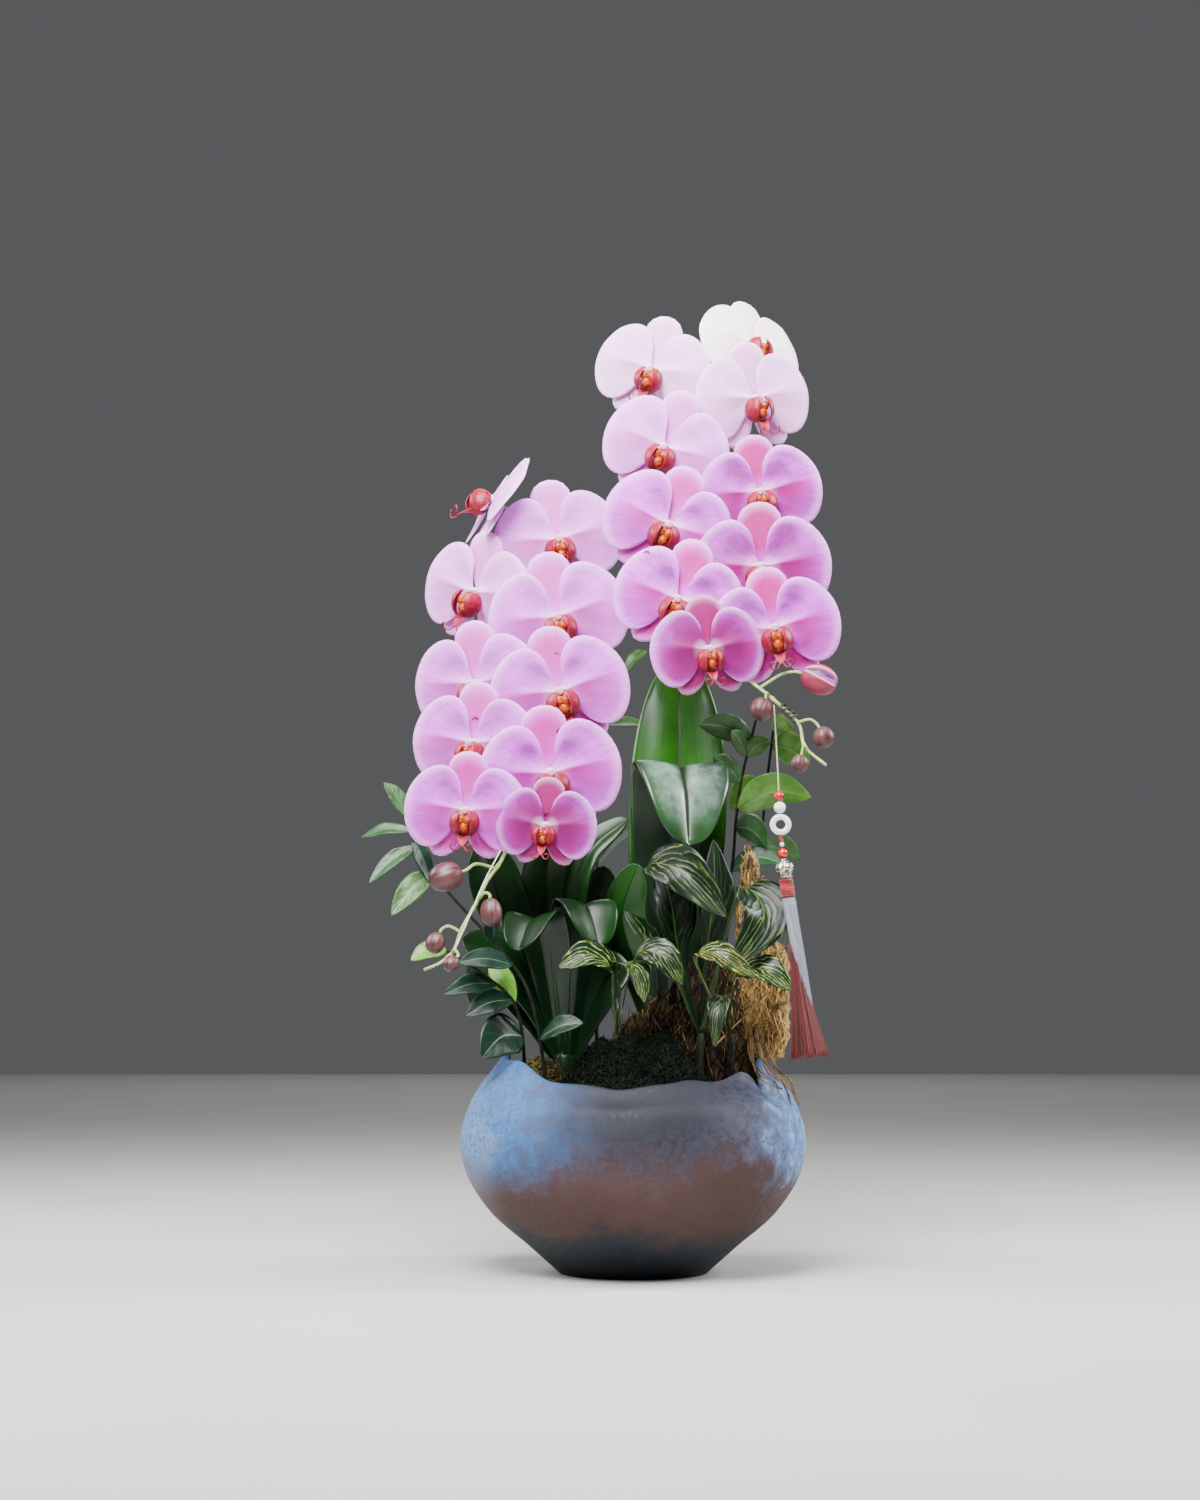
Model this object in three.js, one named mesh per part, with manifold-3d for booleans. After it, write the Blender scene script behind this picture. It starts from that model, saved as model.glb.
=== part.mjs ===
// Potted moth orchid: twenty pink blooms on two arching spikes, in a round pot with a waved rim.
// Millimetres, +Z up. The origin is the centre of the pot's foot and the front faces -Y.
import * as THREE from "three";
import { mergeVertices } from "three/addons/utils/BufferGeometryUtils.js";
import Module from "manifold-3d";

const wasm = await Module();
wasm.setup();

// Driving dimensions of the pot and what fills it
const POT_FOOT_RADIUS = 60;
const POT_BELLY_RADIUS = 141;
const POT_RIM_RADIUS = 109;
const POT_RIM_HEIGHT = 168;
const POT_WALL = 7;
const POT_SEGMENTS = 36;
const RIM_WAVES_FROM = 124;
const FRONT_DIP = 17;
const PLEAT_DEPTH = 23;
const PLEAT_ANGLE = THREE.MathUtils.degToRad(63);
const HOLE_MARGIN = 0.8;
const SOIL_EDGE_HEIGHT = 122;
const SOIL_TOP_HEIGHT = 158;
const PLANTED_DEPTH = 46;

// Driving dimensions of the plants
const PETAL_LENGTH = 54;
const TEPAL_THICKNESS = 0.8;
const SPIKE_RADIUS = 2.3;
const SPIKE_STEPS = 30;
const CLIMBING_STEPS = 12;
const COIL_STEP = 28;
const WIRE_RADIUS = 0.6;
const PEDICEL_RADIUS = 1.1;
const LEAF_THICKNESS = 1.6;
const SMALL_LEAF_THICKNESS = 0.8;
const BRANCH_RADIUS = 1.2;

// Driving dimensions of the hanging charm
const THREAD_DIAMETER = 1.2;
const BEAD_RADIUS = 4;
const STONE_RING_RADIUS = 6.2;
const STONE_RING_SECTION = 2.4;

const CLEARANCE = 0.3;
// Corners that lie this close to the plane or edge of their neighbours are left out of fused solids.
const FLATNESS = 0.16;
const UP = new THREE.Vector3(0, 0, 1);

const group = new THREE.Group();

// Helpers that turn formulas into closed solids

function degrees(value) {
  return THREE.MathUtils.degToRad(value);
}

function vector(point) {
  return new THREE.Vector3(point[0], point[1], point[2]);
}

function smoothstep(from, to, value) {
  return THREE.MathUtils.smoothstep(value, from, to);
}

// A seeded stream of numbers between 0 and 1.
function seededRandom(seed) {
  let state = seed;
  return () => {
    state = (state * 1664525 + 1013904223) % 4294967296;
    return state / 4294967296;
  };
}

// Merges shared corners and drops the triangles that have lost their area.
function welded(geometry) {
  geometry.deleteAttribute("normal");
  geometry.deleteAttribute("uv");
  const merged = mergeVertices(geometry, 1e-3);
  const corners = merged.index.array;
  const kept = [];
  for (let k = 0; k < corners.length; k += 3) {
    const [a, b, c] = [corners[k], corners[k + 1], corners[k + 2]];
    if (a !== b && b !== c && c !== a) kept.push(a, b, c);
  }
  merged.setIndex(kept);
  return merged;
}

function toManifold(geometry) {
  const closed = welded(geometry);
  return new wasm.Manifold(
    new wasm.Mesh({
      numProp: 3,
      vertProperties: new Float32Array(closed.attributes.position.array),
      triVerts: new Uint32Array(closed.index.array),
    }),
  );
}

// The largest connected piece of a solid, without its sealed hollows or loose scraps.
function mainBody(solid) {
  const pieces = solid.decompose();
  return pieces.reduce((best, piece) => (piece.volume() > best.volume() ? piece : best));
}

function toGeometry(solid) {
  const mesh = mainBody(solid).asOriginal().simplify(FLATNESS).getMesh();
  const geometry = new THREE.BufferGeometry();
  geometry.setAttribute("position", new THREE.BufferAttribute(mesh.vertProperties, 3));
  geometry.setIndex(new THREE.BufferAttribute(mesh.triVerts, 1));
  return geometry;
}

function fuse(geometries) {
  let whole = toManifold(geometries[0]);
  for (const geometry of geometries.slice(1)) {
    whole = whole.add(toManifold(geometry));
  }
  return toGeometry(whole);
}

function cut(geometry, cutters) {
  let left = toManifold(geometry);
  for (const cutter of cutters) {
    left = left.subtract(toManifold(cutter));
  }
  return toGeometry(left);
}

// Gives a surface of triangles the thickness of a blade, with both faces split alike.
// rim is the loop of corners round its edge.
function thickened(points, normals, triangles, rim, thickness) {
  const face = (side) => points.map((p, k) => p.clone().addScaledVector(normals[k], (side * thickness) / 2));
  const [front, back] = [face(1), face(-1)];
  const corners = [];
  for (const [a, b, c] of triangles) {
    corners.push(front[a], front[b], front[c], back[a], back[c], back[b]);
  }
  rim.forEach((a, k) => {
    const b = rim[(k + 1) % rim.length];
    corners.push(back[a], back[b], front[b], back[a], front[b], front[a]);
  });
  return welded(new THREE.BufferGeometry().setFromPoints(corners));
}

// A thin closed sheet over a grid: middle(u, v) is its middle surface, u across and v along.
function sheetSolid(columns, rows, thickness, middle) {
  const step = 1e-3;
  const inside = (value) => Math.min(Math.max(value, 2 * step), 1 - 2 * step);
  const [points, normals, triangles, rim] = [[], [], [], []];
  const at = (i, j) => j * (columns + 1) + i;
  for (let j = 0; j <= rows; j++) {
    for (let i = 0; i <= columns; i++) {
      const across = inside(j === 0 || j === rows ? 0.5 : i / columns);
      const along = inside(j / rows);
      const alongU = middle(across + step, along).sub(middle(across - step, along));
      const alongV = middle(across, along + step).sub(middle(across, along - step));
      points.push(middle(i / columns, j / rows));
      normals.push(alongU.cross(alongV).normalize());
      if (i < columns && j < rows) {
        triangles.push([at(i, j), at(i + 1, j), at(i + 1, j + 1)]);
        triangles.push([at(i, j), at(i + 1, j + 1), at(i, j + 1)]);
      }
    }
  }
  for (let i = 0; i < columns; i++) rim.push(at(i, 0));
  for (let j = 0; j < rows; j++) rim.push(at(columns, j));
  for (let i = columns; i > 0; i--) rim.push(at(i, rows));
  for (let j = rows; j > 0; j--) rim.push(at(0, j));
  return thickened(points, normals, triangles, rim, thickness);
}

// A thin closed fan in the XY plane's sense: rays from one claw, with twice as many outer rays.
// middle(t, s) is its middle surface, t from -1 to 1 across and s from the claw to the edge.
function fanSolid(segments, thickness, middle) {
  const points = [middle(0, 0)];
  const triangles = [];
  const inner = (k) => 1 + k;
  const outer = (k) => 2 + segments + k;
  for (let k = 0; k <= segments; k++) points.push(middle(-1 + (2 * k) / segments, 0.5));
  for (let k = 0; k <= 2 * segments; k++) points.push(middle(-1 + k / segments, 1));
  for (let k = 0; k < segments; k++) {
    triangles.push([0, inner(k), inner(k + 1)]);
    triangles.push([inner(k), outer(2 * k), outer(2 * k + 1)]);
    triangles.push([inner(k), outer(2 * k + 1), inner(k + 1)]);
    triangles.push([inner(k + 1), outer(2 * k + 1), outer(2 * k + 2)]);
  }
  const rim = [0, inner(0)];
  for (let k = 0; k <= 2 * segments; k++) rim.push(outer(k));
  rim.push(inner(segments));
  const normals = points.map(() => new THREE.Vector3(0, 0, 1));
  return thickened(points, normals, triangles, rim, thickness);
}

// A round rod along a smooth curve through the points.
function rod(points, radius, sides, steps) {
  const section = new THREE.Shape();
  for (let k = 0; k < sides; k++) {
    const angle = (2 * Math.PI * k) / sides;
    const [x, y] = [radius * Math.cos(angle), radius * Math.sin(angle)];
    if (k === 0) section.moveTo(x, y);
    else section.lineTo(x, y);
  }
  const extrudePath = new THREE.CatmullRomCurve3(points.map(vector));
  return new THREE.ExtrudeGeometry(section, { steps, extrudePath, bevelEnabled: false });
}

// A body turned about the vertical, from [radius, height] points that start and end on the axis.
function turned(profile, segments) {
  const points = profile.map(([radius, height]) => new THREE.Vector2(radius, height));
  return new THREE.LatheGeometry(points, segments).rotateX(Math.PI / 2);
}

function addPart(name, geometry, color, roughness) {
  const material = new THREE.MeshStandardMaterial({ color, roughness, metalness: 0 });
  const mesh = new THREE.Mesh(geometry, material);
  mesh.name = name;
  group.add(mesh);
  return mesh;
}

// Pot: a bowl with a waved rim and one deep pleat at the front right

const OUTER_WALL = new THREE.SplineCurve([
  new THREE.Vector2(POT_FOOT_RADIUS, 0),
  new THREE.Vector2(84, 21),
  new THREE.Vector2(119, 52),
  new THREE.Vector2(0.985 * POT_BELLY_RADIUS, 88),
  new THREE.Vector2(POT_BELLY_RADIUS, 107),
  new THREE.Vector2(134, 134),
  new THREE.Vector2(POT_RIM_RADIUS, POT_RIM_HEIGHT),
]);

// Height that the rim gains at an angle from the front, positive to the right.
function rimWave(angle) {
  const bump = (centre, width) => Math.exp(-(((angle - degrees(centre)) / degrees(width)) ** 2));
  const front = 1 / (1 + (angle / degrees(47)) ** 8);
  const back = (1 - front) * 2.5 * Math.sin(5 * angle + 0.6);
  const ripples = 3 * bump(23, 8) - 4 * bump(-6, 10) + 8 * bump(-84, 6);
  const pleat = PLEAT_DEPTH * Math.exp(-(((angle - PLEAT_ANGLE) / degrees(6.5)) ** 2));
  return ripples + back - FRONT_DIP * front - pleat;
}

// Moves the corners of a turned body so that its upper edge follows the wave.
function waved(geometry) {
  const position = geometry.attributes.position;
  for (let k = 0; k < position.count; k++) {
    const [x, y, z] = [position.getX(k), position.getY(k), position.getZ(k)];
    const radius = Math.hypot(x, y);
    const even = Math.atan2(x, -y);
    const angle = even - 0.35 * Math.sin(even - PLEAT_ANGLE);
    const share = smoothstep(RIM_WAVES_FROM, POT_RIM_HEIGHT, z);
    const rise = share * rimWave(angle);
    const spread = radius - 0.35 * rise * Math.min(1, radius / POT_RIM_RADIUS);
    position.setXYZ(k, spread * Math.sin(angle), -spread * Math.cos(angle), z + rise);
  }
  return geometry;
}

function innerWallPoint(share) {
  const point = OUTER_WALL.getPoint(share);
  const tangent = OUTER_WALL.getTangent(share);
  return [point.x - POT_WALL * tangent.y, point.y + POT_WALL * tangent.x];
}

function pot() {
  const outer = OUTER_WALL.getPoints(9).map((point) => [point.x, point.y]);
  const lip = [[POT_RIM_RADIUS - 0.5 * POT_WALL, POT_RIM_HEIGHT + 2.5]];
  const inner = [1, 0.9, 0.76, 0.6, 0.36, 0.12].map(innerWallPoint);
  const profile = [[0, 0], ...outer, ...lip, ...inner, [0, POT_WALL + 2]];
  return waved(turned(profile, POT_SEGMENTS));
}

// Growing medium: fills the pot up to a mound, with a plain hole for each planted stem

function soilBody() {
  const wall = [0.12, 0.36, 0.6].map((share) => {
    const [radius, height] = innerWallPoint(share);
    return [radius - 1.5, height + 0.6];
  });
  const mound = [
    [114, SOIL_EDGE_HEIGHT + 4],
    [96, 138],
    [66, 151],
    [30, SOIL_TOP_HEIGHT],
  ];
  const profile = [[0, POT_WALL + 2.6], ...wall, ...mound, [0, SOIL_TOP_HEIGHT + 1]];
  return waved(turned(profile, POT_SEGMENTS / 2));
}

const plantingHoles = [];

// Reserves a round hole in the medium and returns the height of the foot that stands in it.
function planted(x, y, radius) {
  const bottom = SOIL_TOP_HEIGHT - PLANTED_DEPTH - CLEARANCE;
  const height = 2 * PLANTED_DEPTH;
  const hole = new THREE.CylinderGeometry(radius + HOLE_MARGIN, radius + HOLE_MARGIN, height, 8);
  hole.rotateX(Math.PI / 2).translate(x, y, bottom + height / 2);
  plantingHoles.push(hole);
  return bottom + CLEARANCE;
}

// Blooms: tepals are fans of rays from the claw, each ray as long as the outline there

function tepal({ axis, spread, length, blunt, full, lift = 1, segments, root, depth }) {
  return fanSolid(segments, TEPAL_THICKNESS, (across, s) => {
    const t = 0.975 * Math.sin((Math.PI / 2) * across);
    const power = t < 0 ? blunt[0] : blunt[1];
    const distance = s * length * (1 - Math.abs(t) ** power) ** full;
    const angle = degrees(axis + t * spread);
    const x = root + distance * Math.cos(angle);
    const y = distance * Math.sin(angle) * (angle > 0 ? lift : 1);
    return new THREE.Vector3(x, y, depth(s, t));
  });
}

// How far forward a petal's surface lies: raised along its crease and swept back at its tip.
function petalDepth(s, t) {
  const ridge = 3 * Math.sin(Math.PI * s) * Math.exp(-(((t + 0.05) / 0.35) ** 2));
  const sweep = s * s * (4 + 5 * (1 - t * t));
  const edge = 0.8 * s * Math.abs(t) ** 3;
  return 2.4 + 3 * s - sweep + ridge - edge;
}

function petal(side) {
  const blade = tepal({
    axis: 11,
    spread: 70,
    length: PETAL_LENGTH,
    blunt: [5.5, 6],
    lift: 0.86,
    full: 0.36,
    segments: 3,
    root: 1,
    depth: petalDepth,
  });
  return side > 0 ? blade : mirrored(blade);
}

// The mirror image across the plane x = 0, with its faces turned back outwards.
function mirrored(geometry) {
  const flipped = geometry.clone().scale(-1, 1, 1);
  const corners = flipped.index.array;
  for (let k = 0; k < corners.length; k += 3) {
    [corners[k], corners[k + 1]] = [corners[k + 1], corners[k]];
  }
  return flipped;
}

function sepalDepth(s, t) {
  return -2.6 - 3 * s * s - 1.2 * s * t * t;
}

function sepal({ axis, length, spread, blunt }) {
  const outline = { axis, spread, length, blunt: [blunt, blunt], full: 0.5 };
  return tepal({ ...outline, segments: 2, root: 0, depth: sepalDepth });
}

// Lip: two side lobes curved round a small chamber, and a blade that is its floor and middle lobe.
const LIP_CENTRE = new THREE.Vector3(0, -10.5, 10.5);
const LIP_RADIUS = 12.5;

function sideLobe(side) {
  const lobe = sheetSolid(2, 2, TEPAL_THICKNESS, (u, v) => {
    const above = degrees(-61 + 113 * v);
    const halfWidth = 12 + 60 * Math.sqrt(v) - 26 * v;
    const around = degrees(66 + halfWidth * (2 * u - 1));
    return new THREE.Vector3(
      LIP_RADIUS * Math.cos(above) * Math.sin(around),
      LIP_RADIUS * Math.sin(above),
      LIP_RADIUS * Math.cos(above) * Math.cos(around),
    ).add(LIP_CENTRE);
  });
  return side > 0 ? lobe : mirrored(lobe);
}

function lipBlade() {
  const route = new THREE.CatmullRomCurve3([
    new THREE.Vector3(0, -2, 1.5),
    new THREE.Vector3(0, -14, 2.5),
    new THREE.Vector3(0, -21.5, 8),
    new THREE.Vector3(0, -23.5, 16),
    new THREE.Vector3(0, -31, 23),
  ]);
  return sheetSolid(2, 3, TEPAL_THICKNESS, (u, v) => {
    const side = 1 - 2 * u;
    const half = v < 0.3 ? 2 + 16 * v : 6.8 * Math.sqrt(Math.max(0, 1 - ((v - 0.3) / 0.7) ** 2));
    const centre = route.getPoint(v);
    return centre.add(new THREE.Vector3(side * half, 0.35 * Math.abs(side) * half, 0));
  });
}

// The column stands out of the bloom's middle; its foot takes the claws of all the tepals.
function column() {
  const profile = [[0, -5], [4, -4.4], [3.2, 12], [0, 13.5]];
  return turned(profile, 5);
}

// One whole bloom in its own frame: X to its right, Y up, Z out of its face.
function bloomSolid() {
  const tepals = [
    petal(1),
    petal(-1),
    sepal({ axis: 90, length: 52, spread: 40, blunt: 2.2 }),
    sepal({ axis: -56, length: 49, spread: 33, blunt: 1.7 }),
    sepal({ axis: -124, length: 49, spread: 33, blunt: 1.7 }),
  ];
  return fuse([column(), ...tepals, lipBlade(), sideLobe(1), sideLobe(-1)]);
}

// Where each bloom sits: place of its centre, yaw to the right, pitch down, roll clockwise as seen
// from the front, in degrees, and the length of its petals.
const RIGHT_BLOOMS = [
  { at: [108, 75, 799], yaw: 32, pitch: -14, roll: 6, petal: 52 },
  { at: [19, 28, 763], yaw: -12, pitch: 6, roll: 16, petal: 51 },
  { at: [105, 12, 733], yaw: 20, pitch: 8, roll: -10, petal: 52 },
  { at: [29, 2, 687], yaw: -8, pitch: 8, roll: 22, petal: 54 },
  { at: [108, -10, 645], yaw: -2, pitch: 8, roll: -8, petal: 52 },
  { at: [30, -22, 614], yaw: 0, pitch: 8, roll: 22, petal: 55 },
  { at: [107, -34, 576], yaw: -6, pitch: 8, roll: -2, petal: 57 },
  { at: [38, -46, 546], yaw: -6, pitch: 8, roll: 18, petal: 54 },
  { at: [115, -64, 519], yaw: -4, pitch: 8, roll: -10, petal: 53 },
  { at: [60, -74, 500], yaw: 8, pitch: 8, roll: -6, petal: 46 },
];
const LEFT_BLOOMS = [
  { at: [-117, 28, 647], yaw: -72, pitch: -30, roll: -6, petal: 52 },
  { at: [-63, 14, 610], yaw: 4, pitch: 8, roll: -10, petal: 54 },
  { at: [-133, 19, 566], yaw: -32, pitch: 8, roll: 16, petal: 54 },
  { at: [-62, -13, 538], yaw: 0, pitch: 8, roll: -12, petal: 58 },
  { at: [-130, -17, 481], yaw: -18, pitch: 8, roll: -3, petal: 55 },
  { at: [-60, -39, 471], yaw: 2, pitch: 8, roll: -13, petal: 57 },
  { at: [-130, -43, 428], yaw: -13, pitch: 8, roll: 6, petal: 52 },
  { at: [-67, -63, 401], yaw: 4, pitch: 8, roll: -8, petal: 57 },
  { at: [-134, -78, 369], yaw: -2, pitch: 8, roll: 3, petal: 49 },
  { at: [-70, -88, 356], yaw: -8, pitch: 8, roll: 5, petal: 40 },
];

// Turns a bloom's own frame to face the front, then by its roll, pitch and yaw.
function bloomMatrix({ at, yaw, pitch, roll, petal: length }) {
  const matrix = new THREE.Matrix4().makeTranslation(at[0], at[1], at[2]);
  const turn = new THREE.Matrix4();
  matrix.multiply(turn.makeRotationX(Math.PI / 2));
  matrix.multiply(turn.makeRotationY(degrees(yaw)));
  matrix.multiply(turn.makeRotationX(degrees(pitch)));
  matrix.multiply(turn.makeRotationZ(-degrees(roll)));
  const size = length / PETAL_LENGTH;
  matrix.multiply(turn.makeScale(size, size, size));
  return matrix;
}

const BLOOM_PINK = 0xe3a0dc;

function addBlooms(side, blooms) {
  const solid = bloomSolid();
  blooms.forEach((bloom, k) => {
    const geometry = solid.clone().applyMatrix4(bloomMatrix(bloom));
    addPart(`bloom_${side}_${k + 1}`, geometry, BLOOM_PINK, 0.55);
  });
}

// Spikes: a stem that climbs behind the blooms, arches over and comes down to the buds

const RIGHT_STEM = [
  [52, 38, 112], [52, 38, 142], [52, 38, 172], [54, 54, 260], [60, 82, 420], [66, 98, 580], [69, 100, 690],
  [70, 84, 752], [70, 58, 752], [70, 38, 700], [70, 24, 645], [71, 6, 585], [73, -14, 535],
  [81, -34, 496], [95, -57, 477], [113, -74, 458.5], [132, -82, 438], [136, -88, 419],
  [152, -96, 403],
];
const LEFT_STEM = [
  [-42, 34, 112], [-42, 34, 142], [-42, 34, 172], [-48, 52, 260], [-66, 78, 400], [-86, 90, 510], [-97, 86, 592],
  [-99, 66, 622], [-99, 46, 604], [-98, 28, 550], [-98, 6, 484], [-98, -16, 430],
  [-98, -32, 388], [-99, -47, 355], [-106, -72, 329], [-116, -88, 312], [-123, -95, 296],
  [-135.5, -104, 272], [-141, -109, 256], [-150, -114, 247], [-163, -118, 241],
];

// The straight piece of a stem between two of its steps, as its two ends.
function stemPiece(route, step) {
  const curve = new THREE.CatmullRomCurve3(route.map(vector));
  return [curve.getPointAt(step / SPIKE_STEPS), curve.getPointAt((step + 1) / SPIKE_STEPS)];
}

// Points on the axis of a stem's straight pieces, from where it has climbed down to its tip.
function fallingPoints(route) {
  const points = [];
  for (let step = CLIMBING_STEPS; step < SPIKE_STEPS; step++) {
    const [from, to] = stemPiece(route, step);
    for (let k = 0; k < 6; k++) points.push(from.clone().lerp(to, k / 6));
  }
  return points;
}

// A stem at its full thickness, with a pedicel to each bloom's back and to each bud.
function spike(route, blooms, buds) {
  const falling = fallingPoints(route);
  const nearest = (point) =>
    falling.reduce((best, other) => (other.distanceTo(point) < best.distanceTo(point) ? other : best));
  const pieces = [rod(route, SPIKE_RADIUS, 5, SPIKE_STEPS)];
  for (const bloom of blooms) {
    const matrix = bloomMatrix(bloom);
    const back = new THREE.Vector3(0, 0, -5).applyMatrix4(matrix);
    const outwards = new THREE.Vector3(0, 0, -1).transformDirection(matrix);
    const end = back.clone().addScaledVector(outwards, CLEARANCE);
    const bend = back.clone().addScaledVector(outwards, 12);
    const start = nearest(bend);
    const half = bend.clone().lerp(start, 0.5).addScaledVector(UP, 3);
    pieces.push(rod([start, half, bend, end].map((p) => p.toArray()), PEDICEL_RADIUS, 4, 3));
  }
  for (const bud of buds) {
    const start = nearest(vector(bud.from));
    const end = vector(bud.at).addScaledVector(budAxis(bud), -bud.length / 2 - CLEARANCE);
    const bend = start.clone().lerp(end, 0.6).addScaledVector(UP, 5);
    const last = end.clone().addScaledVector(budAxis(bud), -3);
    pieces.push(rod([start, bend, last, end].map((p) => p.toArray()), PEDICEL_RADIUS, 4, 3));
  }
  return fuse(pieces);
}

// Buds: egg-shaped, each along its own axis, from the stem outwards
const RIGHT_BUDS = [
  { at: [149, -80, 474], from: [104, -66, 470], axis: [0.85, -0.2, -0.35], length: 30, radius: 12.5 },
  { at: [102, -86, 449], from: [110, -72, 462], axis: [-0.3, -0.5, -0.75], length: 19, radius: 9.5 },
  { at: [151, -90, 426], from: [132, -82, 438], axis: [0.35, -0.3, -0.85], length: 17, radius: 8.5 },
  { at: [131, -99, 404], from: [136, -89, 418], axis: [-0.2, -0.4, -0.85], length: 14, radius: 7 },
];
const LEFT_BUDS = [
  { at: [-148, -102, 314], from: [-110, -81, 322], axis: [-0.85, -0.2, -0.3], length: 27, radius: 11.5 },
  { at: [-112, -106, 286], from: [-122, -95, 298], axis: [0.1, -0.2, -0.95], length: 22, radius: 8.5 },
  { at: [-155, -110, 262], from: [-136, -104, 272], axis: [-0.35, -0.2, -0.85], length: 17, radius: 7.5 },
  { at: [-142, -121, 246], from: [-142, -110, 254], axis: [-0.5, -0.6, -0.6], length: 14, radius: 6 },
];

function budAxis(bud) {
  return vector(bud.axis).normalize();
}

function budSolid(bud) {
  const half = bud.length / 2;
  const profile = [[0, -half]];
  const rings = 4;
  for (let k = 1; k < rings; k++) {
    const angle = (Math.PI * k) / rings;
    profile.push([bud.radius * Math.sin(angle) ** 0.85, -half * Math.cos(angle)]);
  }
  profile.push([0, half]);
  const solid = turned(profile, 7);
  const turn = new THREE.Quaternion().setFromUnitVectors(UP, budAxis(bud));
  return solid.applyQuaternion(turn).translate(...bud.at);
}

const STEM_GREEN = 0x9db274;
const BUD_ROSE = 0xa56a62;

function addSpikes() {
  addPart("spike_right", spike(RIGHT_STEM, RIGHT_BLOOMS, RIGHT_BUDS), STEM_GREEN, 0.6);
  addPart("spike_left", spike(LEFT_STEM, LEFT_BLOOMS, LEFT_BUDS), STEM_GREEN, 0.6);
  planted(52, 38, SPIKE_RADIUS);
  planted(-42, 34, SPIKE_RADIUS);
  RIGHT_BUDS.forEach((bud, k) => addPart(`bud_right_${k + 1}`, budSolid(bud), BUD_ROSE, 0.6));
  LEFT_BUDS.forEach((bud, k) => addPart(`bud_left_${k + 1}`, budSolid(bud), BUD_ROSE, 0.6));
}

// Leaves: a blade along a curve, folded a little along its midrib

// Half width of a strap leaf and of an oval leaf, as a share of the widest place.
function strapOutline(v) {
  if (v < 0.62) return 0.16 + 0.84 * Math.sin((Math.PI / 2) * (v / 0.62));
  return Math.sqrt(Math.max(0, 1 - ((v - 0.62) / 0.38) ** 2));
}

function ovalOutline(v) {
  return Math.sin(Math.PI * Math.min(1, v) ** 0.85) ** 0.8;
}

// A leaf: route of its midrib, half width, roll of the blade about its midrib, in degrees,
// and fold, the rise of its edges as a share of the half width.
function leafBlade({ route, halfWidth, roll = 0, fold = 0.2, rows = 6, outline, thickness }) {
  const curve = new THREE.CatmullRomCurve3(route.map(vector));
  const ends = curve.getPoint(1).sub(curve.getPoint(0));
  const level = new THREE.Vector3().crossVectors(UP, ends).normalize();
  if (level.lengthSq() < 0.5) level.set(1, 0, 0);
  return sheetSolid(2, rows, thickness, (u, v) => {
    const tangent = curve.getTangent(v);
    const across = level.clone().addScaledVector(tangent, -level.dot(tangent)).normalize();
    across.applyAxisAngle(tangent, degrees(roll));
    const raised = new THREE.Vector3().crossVectors(tangent, across);
    const offset = (1 - 2 * u) * halfWidth * outline(v);
    return curve
      .getPoint(v)
      .addScaledVector(across, offset)
      .addScaledVector(raised, fold * Math.abs(offset));
  });
}

function strapLeaf(route, halfWidth, roll, fold) {
  const shape = { route, halfWidth, roll, fold, outline: strapOutline, thickness: LEAF_THICKNESS };
  return leafBlade(shape);
}

const RIGHT_CROWN = [30, 14];
const LEFT_CROWN = [-56, 4];
const CROWN_RADIUS = 9;

function crown([x, y]) {
  const foot = planted(x, y, CROWN_RADIUS);
  const top = SOIL_TOP_HEIGHT + 22;
  const stub = new THREE.CylinderGeometry(CROWN_RADIUS, CROWN_RADIUS, top - foot, 6);
  return stub.rotateX(Math.PI / 2).translate(x, y, (top + foot) / 2);
}

function rightRosette() {
  return fuse([
    crown(RIGHT_CROWN),
    strapLeaf([[35, 19, 168], [36, 39, 280], [41, 52, 400], [42, 60, 516]], 42, 0, 0.16),
    strapLeaf([[28, 10, 172], [30, 24, 290], [34, 22, 372], [40, 0, 412], [43, -22, 392], [45, -38, 344]], 41, 0, 0.08),
    strapLeaf([[25, 20, 168], [22, 66, 256], [20, 104, 290], [16, 152, 252]], 26, 0, 0.2),
    strapLeaf([[24, 12, 170], [6, 8, 236], [-8, -4, 290], [4, -20, 330]], 20, 0, 0.2),
  ]);
}

function leftRosette() {
  return fuse([
    crown(LEFT_CROWN),
    strapLeaf([[-60, 0, 168], [-70, -16, 240], [-80, -32, 284], [-92, -58, 258]], 24, 0, 0.25),
    strapLeaf([[-52, -2, 168], [-46, -12, 244], [-40, -24, 296], [-28, -46, 262]], 27, 0, 0.2),
    strapLeaf([[-61, 5, 170], [-92, 12, 250], [-114, 10, 312], [-126, 6, 352]], 25, -60, 0.2),
    strapLeaf([[-52, 9, 172], [-50, 18, 260], [-36, 14, 340], [-4, -6, 368]], 17, 55, 0.2),
    strapLeaf([[-59, 10, 168], [-86, 62, 240], [-110, 112, 258], [-134, 156, 212]], 30, 0, 0.2),
    strapLeaf([[-62, 2, 170], [-86, -2, 222], [-112, -10, 256], [-140, -22, 268]], 19, -60, 0.2),
    strapLeaf([[-50, 8, 170], [-40, 22, 232], [-30, 30, 290], [-24, 28, 332]], 18, 60, 0.2),
    strapLeaf([[-60, 9, 170], [-68, 28, 250], [-72, 34, 320], [-64, 24, 368]], 24, 0, 0.2),
    strapLeaf([[-48, 2, 170], [-34, -2, 212], [-20, -6, 238], [-3, -8, 248]], 24, 60, 0.2),
    strapLeaf([[-63, 4, 170], [-80, 8, 206], [-98, 8, 232], [-118, 4, 246]], 22, -60, 0.2),
  ]);
}

const LEAF_GREEN = 0x1d5a24;

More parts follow.
